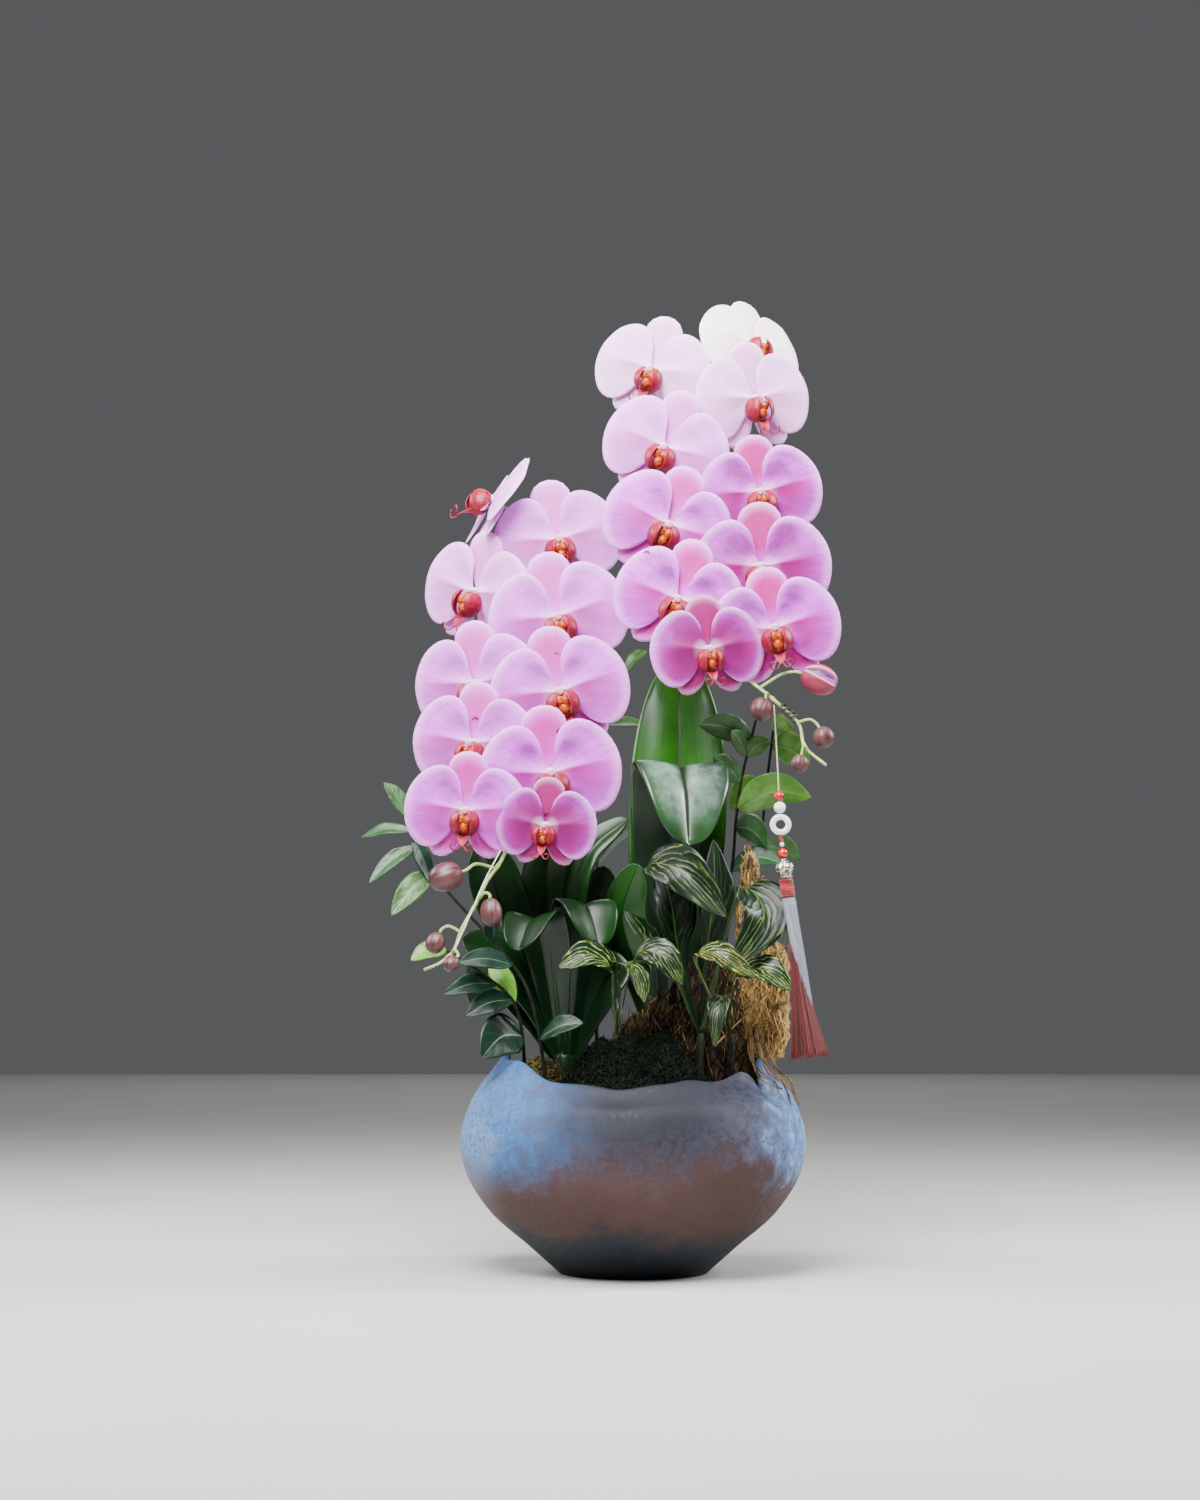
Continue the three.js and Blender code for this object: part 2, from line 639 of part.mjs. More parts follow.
function addRosettes() {
  addPart("leaves_orchid_right", rightRosette(), LEAF_GREEN, 0.35);
  addPart("leaves_orchid_left", leftRosette(), LEAF_GREEN, 0.35);
}

// Leafy branches: a thin dark stem with oval leaves, each from a place along the stem
function leafyBranch([x, y], route, leaves) {
  const foot = planted(x, y, BRANCH_RADIUS);
  const points = [[x, y, foot], [x, y, SOIL_TOP_HEIGHT - 18], [x, y, SOIL_TOP_HEIGHT + 6], ...route];
  const stem = new THREE.CatmullRomCurve3(points.map(vector));
  const pieces = [rod(points, BRANCH_RADIUS, 4, 9)];
  for (const { along, to, halfWidth, sag = 4, roll = 0 } of leaves) {
    const start = stem.getPoint(along);
    const end = vector(to);
    const middle = start.clone().lerp(end, 0.5).addScaledVector(UP, sag);
    const shape = { halfWidth, roll, fold: 0.2, rows: 3, thickness: SMALL_LEAF_THICKNESS };
    const outline = (v) => Math.max(0.1 * (1 - v), ovalOutline(v));
    pieces.push(leafBlade({ ...shape, outline, route: [start, middle, end].map((p) => p.toArray()) }));
  }
  return fuse(pieces);
}

const BRANCH_GREEN = 0x3c6e4a;

function addBranches() {
  const outerLeft = leafyBranch(
    [-72, -44],
    [[-85, -56, 227], [-107, -54, 259], [-144, -45, 299], [-165, -38, 324], [-178, -32, 345], [-185, -28, 368]],
    [
      { along: 1, to: [-205, -26, 397], halfWidth: 7.5, roll: -50 },
      { along: 0.94, to: [-222, -34, 351], halfWidth: 6.5, roll: -50 },
      { along: 0.87, to: [-214, -46, 313], halfWidth: 7, roll: -55 },
      { along: 0.9, to: [-162, -46, 310], halfWidth: 7, roll: 60 },
      { along: 0.74, to: [-195, -54, 286], halfWidth: 10.5, roll: -60 },
      { along: 0.66, to: [-141, -36, 322], halfWidth: 7, roll: 60 },
      { along: 0.52, to: [-112, -76, 288], halfWidth: 11, roll: 55 },
      { along: 0.45, to: [-140, -72, 248], halfWidth: 10, roll: -60 },
      { along: 0.3, to: [-40, -84, 200], halfWidth: 10, roll: 60 },
    ],
  );
  const innerLeft = leafyBranch(
    [-88, -26],
    [[-96, -40, 216], [-122, -50, 240], [-150, -56, 258]],
    [
      { along: 1, to: [-178, -64, 250], halfWidth: 9, roll: -50 },
      { along: 0.72, to: [-151, -66, 223], halfWidth: 9.5, roll: -60 },
      { along: 0.62, to: [-134, -58, 206], halfWidth: 10.5, roll: -60 },
      { along: 0.5, to: [-121, -64, 173], halfWidth: 19, roll: -60, sag: 8 },
      { along: 0.6, to: [-118, -26, 252], halfWidth: 9, roll: -60 },
    ],
  );
  const outerRight = leafyBranch(
    [78, 30],
    [[81, 30, 304], [86, 32, 342], [88, 34, 367], [92, 36, 398], [99, 38, 430], [108, 40, 463]],
    [
      { along: 0.92, to: [56, 20, 452], halfWidth: 12, roll: 60 },
      { along: 0.86, to: [84, 18, 446], halfWidth: 7, roll: 60 },
      { along: 0.86, to: [118, 26, 438], halfWidth: 8, roll: -60 },
      { along: 0.77, to: [68, 15, 424], halfWidth: 9, roll: 70 },
      { along: 0.68, to: [152, 30, 391], halfWidth: 18, roll: -50, sag: 10 },
      { along: 0.62, to: [114, 26, 348], halfWidth: 14, roll: -60, sag: 6 },
      { along: 0.45, to: [127, 24, 334], halfWidth: 12, roll: 50, sag: 8 },
    ],
  );
  const backRight = leafyBranch(
    [78, 46],
    [[100, 60, 260], [110, 60, 340], [116, 58, 400], [122, 50, 450]],
    [
      { along: 0.96, to: [152, 40, 420], halfWidth: 16, roll: -60 },
      { along: 0.84, to: [86, 68, 384], halfWidth: 16, roll: 60 },
      { along: 1, to: [136, 20, 452], halfWidth: 9, roll: -50 },
      { along: 0.7, to: [146, 76, 340], halfWidth: 14, roll: -30 },
      { along: 0.56, to: [96, 96, 300], halfWidth: 13, roll: 20 },
    ],
  );
  const backMiddle = leafyBranch(
    [-8, 66],
    [[-30, 80, 300], [-36, 84, 400], [-22, 70, 470], [-8, 50, 498]],
    [
      { along: 1, to: [14, 40, 518], halfWidth: 10, roll: 50 },
      { along: 0.8, to: [26, 92, 456], halfWidth: 10, roll: 30 },
      { along: 0.68, to: [-64, 110, 412], halfWidth: 11, roll: 30 },
      { along: 0.55, to: [12, 112, 376], halfWidth: 12, roll: -30 },
      { along: 0.45, to: [-62, 112, 340], halfWidth: 13, roll: 30 },
    ],
  );
  addPart("branch_left_outer", outerLeft, BRANCH_GREEN, 0.5);
  addPart("branch_left_inner", innerLeft, BRANCH_GREEN, 0.5);
  addPart("branch_right_outer", outerRight, BRANCH_GREEN, 0.5);
  addPart("branch_right_back", backRight, BRANCH_GREEN, 0.5);
  addPart("branch_middle_back", backMiddle, BRANCH_GREEN, 0.5);
}

// Stripy leaves: broad and folded, in a tuft from one stalk
const TUFT_STALK_RADIUS = 3;
const PETIOLE_SHARE = 0.28;

// A thin petiole, then an oval blade.
function stalkedOutline(v) {
  return v < PETIOLE_SHARE ? 0.12 : ovalOutline((v - PETIOLE_SHARE) / (1 - PETIOLE_SHARE));
}

function stripedTuft([x, y], leaves) {
  const foot = planted(x, y, TUFT_STALK_RADIUS);
  const top = SOIL_TOP_HEIGHT + 34;
  const stalk = new THREE.CylinderGeometry(TUFT_STALK_RADIUS, TUFT_STALK_RADIUS, top - foot, 5);
  const pieces = [stalk.rotateX(Math.PI / 2).translate(x, y, (top + foot) / 2)];
  for (const { route, halfWidth, roll = 0, fold = 0.3 } of leaves) {
    const start = [x, y, top - 3];
    const shape = { halfWidth, roll, fold, rows: 6, outline: stalkedOutline, thickness: SMALL_LEAF_THICKNESS };
    pieces.push(leafBlade({ ...shape, route: [start, ...route] }));
  }
  return fuse(pieces);
}

const STRIPED_GREEN = 0x4c7038;

function addStripedTufts() {
  const low = stripedTuft([-14, -44], [
    { route: [[-14, -58, 240], [-36, -68, 254], [-60, -72, 244]], halfWidth: 13, roll: -55 },
    { route: [[-14, -62, 244], [0, -76, 244], [8, -84, 216]], halfWidth: 13 },
    { route: [[5, -74, 256], [22, -81, 253], [38, -84, 230]], halfWidth: 13, roll: 45 },
  ]);
  const tall = stripedTuft([54, -34], [
    { route: [[12, -40, 326], [38, -58, 322], [74, -68, 284]], halfWidth: 20, roll: 45 },
    { route: [[60, -32, 262], [66, -28, 305], [66, -28, 350]], halfWidth: 19, roll: 104 },
    { route: [[90, -46, 308], [104, -64, 288], [78, -80, 246]], halfWidth: 22, roll: 10 },
    { route: [[26, -46, 250], [8, -51, 270], [-8, -54, 290]], halfWidth: 15, roll: -50 },
    { route: [[36, -34, 262], [30, -38, 300], [20, -44, 334]], halfWidth: 20, roll: -75 },
  ]);
  const front = stripedTuft([78, -40], [
    { route: [[50, -68, 254], [68, -80, 254], [96, -84, 236]], halfWidth: 11, roll: 35 },
    { route: [[84, -56, 240], [104, -68, 242], [126, -72, 226]], halfWidth: 14, roll: 45 },
    { route: [[70, -64, 222], [67, -78, 212], [62, -84, 182]], halfWidth: 9 },
  ]);
  addPart("striped_leaves_low", low, STRIPED_GREEN, 0.45);
  addPart("striped_leaves_tall", tall, STRIPED_GREEN, 0.45);
  addPart("striped_leaves_front", front, STRIPED_GREEN, 0.45);
}

// Moss mound at the front of the medium, and a tuft of sphagnum at the left of the rim

const MOSS_EDGE_RADIUS = 100;

function mossTop(radius, angle) {
  const climb = smoothstep(0, 1, (MOSS_EDGE_RADIUS - radius) / 62);
  const lumps = 2.4 * Math.sin(radius / 7 + 3 * angle) + 2 * Math.sin(9 * angle + radius / 19);
  return 150 + 40 * climb + lumps * (0.3 + 0.7 * climb);
}

function mossMound() {
  const [columns, rows] = [9, 5];
  const [from, to] = [degrees(-50), degrees(52)];
  const [points, triangles, rim] = [[], [], []];
  const at = (i, j) => j * (columns + 1) + i;
  for (let j = 0; j <= rows; j++) {
    for (let i = 0; i <= columns; i++) {
      const angle = from + ((to - from) * i) / columns;
      const radius = MOSS_EDGE_RADIUS - (66 * j) / rows;
      const place = [radius * Math.sin(angle), -radius * Math.cos(angle), mossTop(radius, angle)];
      points.push(vector(place));
      if (i < columns && j < rows) {
        triangles.push([at(i, j), at(i + 1, j), at(i + 1, j + 1)]);
        triangles.push([at(i, j), at(i + 1, j + 1), at(i, j + 1)]);
      }
    }
  }
  for (let i = 0; i < columns; i++) rim.push(at(i, 0));
  for (let j = 0; j < rows; j++) rim.push(at(columns, j));
  for (let i = columns; i > 0; i--) rim.push(at(i, rows));
  for (let j = rows; j > 0; j--) rim.push(at(0, j));
  const floor = points.map((p) => new THREE.Vector3(p.x, p.y, SOIL_EDGE_HEIGHT));
  const corners = [];
  for (const [a, b, c] of triangles) corners.push(points[a], points[b], points[c], floor[a], floor[c], floor[b]);
  rim.forEach((a, k) => {
    const b = rim[(k + 1) % rim.length];
    corners.push(floor[a], floor[b], points[b], floor[a], points[b], points[a]);
  });
  return new THREE.BufferGeometry().setFromPoints(corners);
}

// An uneven rounded lump.
function lump(centre, radii, seed) {
  const random = seededRandom(seed);
  const ball = welded(new THREE.IcosahedronGeometry(1, 1));
  const position = ball.attributes.position;
  for (let k = 0; k < position.count; k++) {
    const grow = 0.88 + 0.24 * random();
    position.setXYZ(k, grow * position.getX(k), grow * position.getY(k), grow * position.getZ(k));
  }
  return ball.scale(...radii).translate(...centre);
}

// Tree-fern slab: a row of fibrous posts grown together, with roots that hang over the rim's pleat
const SLAB_FOOT = SOIL_EDGE_HEIGHT + 8;
const SLAB_OVER_RIM = POT_RIM_HEIGHT + 6;

function fernSlab() {
  const posts = [
    { x: 3, top: 208, foot: SLAB_FOOT, radius: 14 },
    { x: 24, top: 224, foot: SLAB_FOOT, radius: 15 },
    { x: 46, top: 246, foot: SLAB_FOOT, radius: 15 },
    { x: 67, top: 252, foot: SLAB_FOOT, radius: 15 },
    { x: 86, top: 262, foot: SLAB_FOOT, radius: 13 },
    { x: 101, top: 320, foot: SLAB_OVER_RIM, radius: 14 },
    { x: 115, top: 268, foot: SLAB_OVER_RIM, radius: 10 },
    { x: 97, top: 342, foot: 300, radius: 5 },
  ];
  const pieces = posts.map(({ x, top, foot, radius }, k) => {
    const post = new THREE.CylinderGeometry(0.85 * radius, radius, top - foot, 6);
    post.rotateX(Math.PI / 2).rotateZ(0.7 * k).scale(1, 0.72, 1);
    return post.translate(x, -9.5 + 1.5 * Math.sin(2 * k), (top + foot) / 2);
  });
  const roots = [
    [[100, -12, 204], [100, -36, 184], [108, -56, 162], [118, -66, 154], [123, -69, 140]],
    [[108, -12, 196], [108, -34, 180], [115, -52, 163], [124, -60, 154], [129, -62, 138]],
    [[96, -12, 196], [94, -38, 176], [100, -58, 159], [110, -70, 153], [115, -74, 145]],
  ];
  for (const root of roots) pieces.push(rod(root, 1.3, 4, 5));
  return fuse(pieces);
}

function addFill() {
  const medium = cut(soilBody(), plantingHoles);
  const lowered = soilBody();
  const resting = (solid) => cut(solid, [lowered, ...plantingHoles]).translate(0, 0, CLEARANCE);
  addPart("growing_medium", medium, 0x4a3524, 0.95);
  addPart("moss_mound", resting(mossMound()), 0x3b4d22, 0.95);
  addPart("sphagnum_tuft", resting(lump([-76, -24, 156], [16, 15, 17], 7)), 0x8a7440, 0.95);
  addPart("fern_slab", resting(fernSlab()), 0x7a5026, 0.95);
}

// Support stake of the left spike, with its clip, and the wires along the two spike tips
const STAKE_TOP = 352;
const STAKE_RADIUS = 2;
const CLIP_RADIUS = 4;
const CLIP_LENGTH = 13;
const CLIP_HEIGHT = 318;

function addSupports() {
  const [x, y] = [-30, 44];
  const foot = planted(x, y, STAKE_RADIUS);
  const stake = new THREE.CylinderGeometry(STAKE_RADIUS, STAKE_RADIUS, STAKE_TOP - foot, 6);
  stake.rotateX(Math.PI / 2).translate(x, y, (STAKE_TOP + foot) / 2);
  const clip = new THREE.CylinderGeometry(CLIP_RADIUS, CLIP_RADIUS, CLIP_LENGTH, 6);
  clip.rotateX(Math.PI / 2).translate(x, y, CLIP_HEIGHT);
  addPart("support_stake", fuse([stake, clip]), 0x3e4a35, 0.6);
  const leftWire = rod([[-106, -84, 336], [-117, -95, 313], [-130, -107, 280], [-139, -114, 258]], WIRE_RADIUS, 4, 6);
  addPart("wire_left", leftWire, 0xd8d4c4, 0.5);
  addPart("wire_right", coiledWire(), 0x2c241c, 0.5);
}

// A wire wound round the right stem beside the place where the charm hangs.
function coiledWire() {
  const [from, to] = stemPiece(RIGHT_STEM, COIL_STEP);
  const tangent = to.clone().sub(from).normalize();
  const side = new THREE.Vector3().crossVectors(tangent, UP).normalize();
  const over = new THREE.Vector3().crossVectors(side, tangent);
  const turns = 4;
  const perTurn = 7;
  const offset = SPIKE_RADIUS + WIRE_RADIUS + 2 * CLEARANCE;
  const points = [];
  for (let k = 0; k <= turns * perTurn; k++) {
    const angle = (2 * Math.PI * k) / perTurn;
    const place = from.clone().lerp(to, 0.2 + (0.5 * k) / (turns * perTurn));
    place.addScaledVector(side, offset * Math.cos(angle)).addScaledVector(over, offset * Math.sin(angle));
    points.push(place.toArray());
  }
  return rod(points, WIRE_RADIUS, 4, turns * perTurn);
}

// Hanging charm: pieces strung on one line that hangs from the right stem
const CHARM_LINE = [
  [113, -74.2, 454.4], [115, -76, 410], [116.5, -77, 372], [118, -78, 340], [121, -79, 312],
  [127, -80, 262], [139, -82, 170],
];

function addCharm() {
  const line = new THREE.CatmullRomCurve3(CHARM_LINE.map(vector));
  const length = line.getLength();
  let used = 0;
  // Puts a body that reaches from its own origin down to -size along the line, below the last one.
  function hang(name, size, color, roughness, solid) {
    const from = line.getPointAt(used / length);
    const to = line.getPointAt(Math.min(1, (used + size) / length));
    const turn = new THREE.Quaternion().setFromUnitVectors(UP, from.clone().sub(to).normalize());
    addPart(name, solid.applyQuaternion(turn).translate(from.x, from.y, from.z), color, roughness);
    used += size + CLEARANCE;
  }
  function bead(radius) {
    return new THREE.SphereGeometry(radius, 7, 5).translate(0, 0, -radius);
  }
  const threadLength = 70;
  const threadEnd = line.getPointAt(threadLength / length);
  const threadMiddle = line.getPointAt((0.5 * threadLength) / length);
  const threadRoute = [vector(CHARM_LINE[0]), threadMiddle, threadEnd].map((p) => p.toArray());
  addPart("charm_thread", rod(threadRoute, THREAD_DIAMETER / 2, 6, 16), 0xd9cdb4, 0.8);
  used = threadLength + CLEARANCE;
  hang("charm_bead_top", 2 * BEAD_RADIUS, 0xc81e14, 0.3, bead(BEAD_RADIUS));
  hang("charm_bead_white", 2.4 * BEAD_RADIUS, 0xe8efec, 0.3, bead(1.2 * BEAD_RADIUS));
  const ringReach = STONE_RING_RADIUS + STONE_RING_SECTION;
  const ring = new THREE.TorusGeometry(STONE_RING_RADIUS, STONE_RING_SECTION, 5, 14);
  ring.rotateX(Math.PI / 2).translate(0, 0, -ringReach);
  hang("charm_ring", 2 * ringReach, 0xdfe9e2, 0.3, ring);
  const loopLength = 9.8;
  const cord = new THREE.CylinderGeometry(1, 1, loopLength, 6);
  cord.rotateX(Math.PI / 2).translate(0, 0, -loopLength / 2);
  hang("charm_cord", loopLength, 0x9c1414, 0.7, cord);
  hang("charm_bead_low", 2 * BEAD_RADIUS, 0xc81e14, 0.3, bead(BEAD_RADIUS));
  hang("charm_cap", 16, 0xd8d4cc, 0.4, turned([[0, -16], [5.6, -16], [7, -7], [3, -1], [0, 0]], 8));
  hang("charm_wrap", 15, 0xb01818, 0.7, turned([[0, -15], [5.6, -15], [5.2, 0], [0, 0]], 8));
  hang("tassel_white", 92, 0xdcdcdc, 0.8, turned([[0, -92], [8, -92], [7, -40], [5.2, 0], [0, 0]], 8));
  hang("tassel_red", 34, 0xb82020, 0.8, turned([[0, -34], [15, -34], [8.4, 0], [0, 0]], 9));
}

addPart("pot", pot(), 0x7d93ac, 0.7);
addBlooms("right", RIGHT_BLOOMS);
addBlooms("left", LEFT_BLOOMS);
addSpikes();
addRosettes();
addBranches();
addStripedTufts();
addSupports();
addCharm();
addFill();

export default group;
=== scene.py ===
"""Potted moth orchid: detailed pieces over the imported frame, with studio floor, light and camera.

Lengths in the piece tables are millimetres; corners are scaled to metres when a mesh is made.
"""
import math
import random

import bpy
from mathutils import Matrix, Vector, noise


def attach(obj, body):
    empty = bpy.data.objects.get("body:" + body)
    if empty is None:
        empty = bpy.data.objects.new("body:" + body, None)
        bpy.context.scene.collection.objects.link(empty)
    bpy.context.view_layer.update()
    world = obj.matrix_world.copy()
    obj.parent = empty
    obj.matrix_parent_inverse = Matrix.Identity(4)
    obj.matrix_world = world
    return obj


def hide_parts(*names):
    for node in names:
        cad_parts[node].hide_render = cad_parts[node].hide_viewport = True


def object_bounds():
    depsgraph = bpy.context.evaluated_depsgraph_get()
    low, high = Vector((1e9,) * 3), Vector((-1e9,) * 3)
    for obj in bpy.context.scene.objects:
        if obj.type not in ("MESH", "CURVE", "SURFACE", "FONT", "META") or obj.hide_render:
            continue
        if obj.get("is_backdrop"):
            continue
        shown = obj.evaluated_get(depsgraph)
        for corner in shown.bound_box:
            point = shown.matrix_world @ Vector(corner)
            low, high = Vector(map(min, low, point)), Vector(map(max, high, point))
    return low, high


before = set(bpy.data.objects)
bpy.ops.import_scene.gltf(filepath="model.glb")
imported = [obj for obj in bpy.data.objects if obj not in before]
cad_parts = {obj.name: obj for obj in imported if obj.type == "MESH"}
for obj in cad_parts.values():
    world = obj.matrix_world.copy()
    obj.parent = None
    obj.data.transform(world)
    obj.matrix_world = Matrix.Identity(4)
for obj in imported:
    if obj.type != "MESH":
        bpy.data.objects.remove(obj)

CAD_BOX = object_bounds()
MM = 0.001
UP = Vector((0, 0, 1))

# Pot and fill
POT_FOOT_RADIUS = 60
POT_BELLY_RADIUS = 141
POT_RIM_RADIUS = 109
POT_RIM_HEIGHT = 168
POT_WALL = 7
RIM_WAVES_FROM = 124
FRONT_DIP = 17
PLEAT_DEPTH = 23
PLEAT_ANGLE = math.radians(63)
SOIL_EDGE_HEIGHT = 122
SOIL_TOP_HEIGHT = 158
PLANTED_FOOT = 112
# How far right of the axis the glaze's pattern, with its painted light and shade, is centred
GLAZE_AND_LIGHT_SHIFT = 12

# Plants
PETAL_LENGTH = 54
SPIKE_RADIUS = 2.3
PEDICEL_RADIUS = 1.1
BRANCH_RADIUS = 1.2
WIRE_RADIUS = 0.6
CLEARANCE = 0.3
# How far a pedicel runs straight back from its bloom, and how deep the back of a bloom is
PEDICEL_RUN = 12
BLOOM_BACK = 5
PETAL_THICKNESS = 0.6
ORCHID_LEAF_THICKNESS = 1.5
BRANCH_LEAF_THICKNESS = 0.6
STRIPED_LEAF_THICKNESS = 0.7
# How far the stub of a rosette and the stalk of a striped tuft stand out of the medium
STUB_HEIGHT = 22
STALK_HEIGHT = 34
STALK_RADIUS = 2.6
# The part of a striped leaf that is stalk
PETIOLE_SHARE = 0.28
# The seam of a bud that faces the front, as a share of its girth, and half the gap of a ripe bud there.
FRONT_SEAM = 1 / 3
GAPE_FOOT = 0.01
GAPE_GROWTH = 0.11
# The way that seam faces
BUD_FRONT = Vector((0.1, -1, 0.45))

# Charm
THREAD_DIAMETER = 1.2
THREAD_LENGTH = 70
THREAD_STEPS = 18
BEAD_RADIUS = 4
STONE_RING_RADIUS = 6.2
STONE_RING_SECTION = 2.4
LOOP_LENGTH = 9.8

# Small loose parts, by number
BARK_CHIPS = 900
MOSS_FRONDS = 15000
SPHAGNUM_STRANDS = 900
WHITE_STRANDS = 130
RED_STRANDS = 170
INNER_RED_STRANDS = 70
ROOT_STRANDS = 5
CAP_STUDS = 8

# Spans by which the length of a path is measured
PATH_SAMPLES = 400


# Small helpers


def clamp(value, low=0, high=1):
    return min(high, max(low, value))


def smoothstep(low, high, value):
    share = clamp((value - low) / (high - low))
    return share * share * (3 - 2 * share)


def hump(value, centre, width):
    """A smooth hump that is 1 at its centre."""
    return math.exp(-(((value - centre) / width) ** 2))


def wobble(x, y=0.0, z=0.0):
    """Smooth noise between about -1 and 1."""
    return noise.noise(Vector((x, y, z)))


def loose(rng, reach):
    return Vector([rng.uniform(-reach, reach) for _ in range(3)])


def taper(start, loss):
    """The radius of a tube that thins evenly along its length."""
    return lambda share: start - loss * share


def ring_point(radius, angle, height):
    return Vector((radius * math.cos(angle), radius * math.sin(angle), height))


def upright(x, y, top, steps):
    """A plumb line from the planted foot of a plant to its top."""
    return [Vector((x, y, PLANTED_FOOT + (top - PLANTED_FOOT) * k / steps)) for k in range(steps + 1)]


def turn_to(direction):
    """The turn that brings the Z axis to a direction."""
    return UP.rotation_difference(direction.normalized()).to_matrix().to_4x4()


def linked(name, data):
    """A new object of the scene."""
    obj = bpy.data.objects.new(name, data)
    bpy.context.scene.collection.objects.link(obj)
    return obj


class Path:
    """A smooth centripetal curve through a route of points."""

    def __init__(self, route):
        self.route = [Vector(p) for p in route]
        self.dense = [self.point(k / PATH_SAMPLES) for k in range(PATH_SAMPLES + 1)]
        self.lengths = [0.0]
        for a, b in zip(self.dense, self.dense[1:]):
            self.lengths.append(self.lengths[-1] + (b - a).length)
        self.length = self.lengths[-1]

    def point(self, share):
        """The point at a share of the number of spans."""
        route = self.route
        place = clamp(share) * (len(route) - 1)
        k = min(int(place), len(route) - 2)
        t = place - k
        p1, p2 = route[k], route[k + 1]
        p0 = route[k - 1] if k > 0 else p1 * 2 - p2
        p3 = route[k + 2] if k + 2 < len(route) else p2 * 2 - p1
        d0 = max((p1 - p0).length ** 0.5, 1e-4)
        d1 = max((p2 - p1).length ** 0.5, 1e-4)
        d2 = max((p3 - p2).length ** 0.5, 1e-4)
        m1 = ((p1 - p0) / d0 - (p2 - p0) / (d0 + d1) + (p2 - p1) / d1) * d1
        m2 = ((p2 - p1) / d1 - (p3 - p1) / (d1 + d2) + (p3 - p2) / d2) * d1
        t2, t3 = t * t, t * t * t
        return p1 * (2 * t3 - 3 * t2 + 1) + m1 * (t3 - 2 * t2 + t) + p2 * (3 * t2 - 2 * t3) + m2 * (t3 - t2)

    def tangent(self, share):
        low, high = max(0, share - 1e-3), min(1, share + 1e-3)
        return (self.point(high) - self.point(low)).normalized()

    def at_length(self, share):
        """The point at a share of the curve's length."""
        target = clamp(share) * self.length
        for k in range(1, len(self.lengths)):
            if self.lengths[k] >= target:
                span = self.lengths[k] - self.lengths[k - 1]
                part = (target - self.lengths[k - 1]) / span if span else 0
                return self.dense[k - 1].lerp(self.dense[k], part)
        return self.dense[-1]

    def spaced(self, steps):
        return [self.at_length(k / steps) for k in range(steps + 1)]


class Piece:
    """Collects the corners and faces of one piece, with two coordinates per corner for its materials."""

    def __init__(self):
        self.points = []
        self.faces = []
        self.slots = []
        self.place = []
        self.tone = []

    def add(self, points, faces, place, slot=0, tone=(0.5, 0.5)):
        start = len(self.points)
        self.points.extend(Vector(p) for p in points)
        self.faces.extend([tuple(start + k for k in face) for face in faces])
        self.slots.extend([slot] * len(faces))
        self.place.extend(place)
        self.tone.extend([tone] * len(points))

    def grid(self, columns, rows, surface, slot=0, tone=(0.5, 0.5)):
        """A sheet of quads; surface(u, v) gives each corner."""
        points, place, faces = [], [], []
        for j in range(rows + 1):
            for i in range(columns + 1):
                u, v = i / columns, j / rows
                points.append(surface(u, v))
                place.append((u, v))
                if i < columns and j < rows:
                    a = j * (columns + 1) + i
                    faces.append((a, a + 1, a + columns + 2, a + columns + 1))
        self.add(points, faces, place, slot, tone)

    def tube(self, line, radius, sides=8, slot=0, tone=(0.5, 0.5)):
        """A round tube along a line of points; radius(share) is its radius there."""
        width = radius if callable(radius) else (lambda share: radius)
        side = None
        rings = []
        for k, point in enumerate(line):
            ahead = line[min(k + 1, len(line) - 1)] - line[max(k - 1, 0)]
            ahead.normalize()
            if side is None:
                side = ahead.orthogonal().normalized()
            side = (side - ahead * side.dot(ahead)).normalized()
            over = ahead.cross(side)
            rings.append((point, side.copy(), over))
        last = len(line) - 1

        def surface(u, v):
            point, across, over = rings[round(v * last)]
            angle = 2 * math.pi * u
            return point + (across * math.cos(angle) + over * math.sin(angle)) * width(v)

        self.grid(sides, last, surface, slot, tone)
        for ring, share in ((0, 0), (last, 1)):
            start = len(self.points) - (last + 1 - ring) * (sides + 1)
            corners = [start + k for k in range(sides)]
            self.faces.append(tuple(corners if ring else reversed(corners)))
            self.slots.append(slot)

    def turned(self, profile, sides=16, matrix=None, slot=0, tone=(0.5, 0.5)):
        """A body turned about Z from (radius, height) points."""
        last = len(profile) - 1

        def surface(u, v):
            radius, height = profile[round(v * last)]
            point = ring_point(radius, 2 * math.pi * u, height)
            return matrix @ point if matrix else point

        self.grid(sides, last, surface, slot, tone)

    def moved(self, matrix):
        self.points = [matrix @ point for point in self.points]

    def build(self, name, materials, thickness=0.0, smooth=True):
        mesh = bpy.data.meshes.new(name)
        mesh.from_pydata([p * MM for p in self.points], [], self.faces)
        for material in materials:
            mesh.materials.append(material)
        mesh.polygons.foreach_set("material_index", self.slots)
        mesh.polygons.foreach_set("use_smooth", [smooth] * len(self.faces))
        corners = [loop.vertex_index for loop in mesh.loops]
        for layer, values in (("place", self.place), ("tone", self.tone)):
            coords = mesh.uv_layers.new(name=layer)
            flat = [number for k in corners for number in values[k]]
            coords.data.foreach_set("uv", flat)
        mesh.update()
        obj = linked(name, mesh)
        if thickness:
            shell = obj.modifiers.new("thickness", "SOLIDIFY")
            shell.thickness = thickness * MM
            shell.offset = 0
        return obj


def settle(obj, slot, *nodes):
    """Fixes a piece to the frame, in place of the named solids."""
    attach(obj, "root")
    if nodes:
        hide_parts(*nodes)


# Materials: each is a small node tree on one shader


def color(code):
    """A linear colour from a hex code."""
    values = [int(code[k:k + 2], 16) / 255 for k in (0, 2, 4)]
    linear = [v / 12.92 if v <= 0.04045 else ((v + 0.055) / 1.055) ** 2.4 for v in values]
    return (*linear, 1)


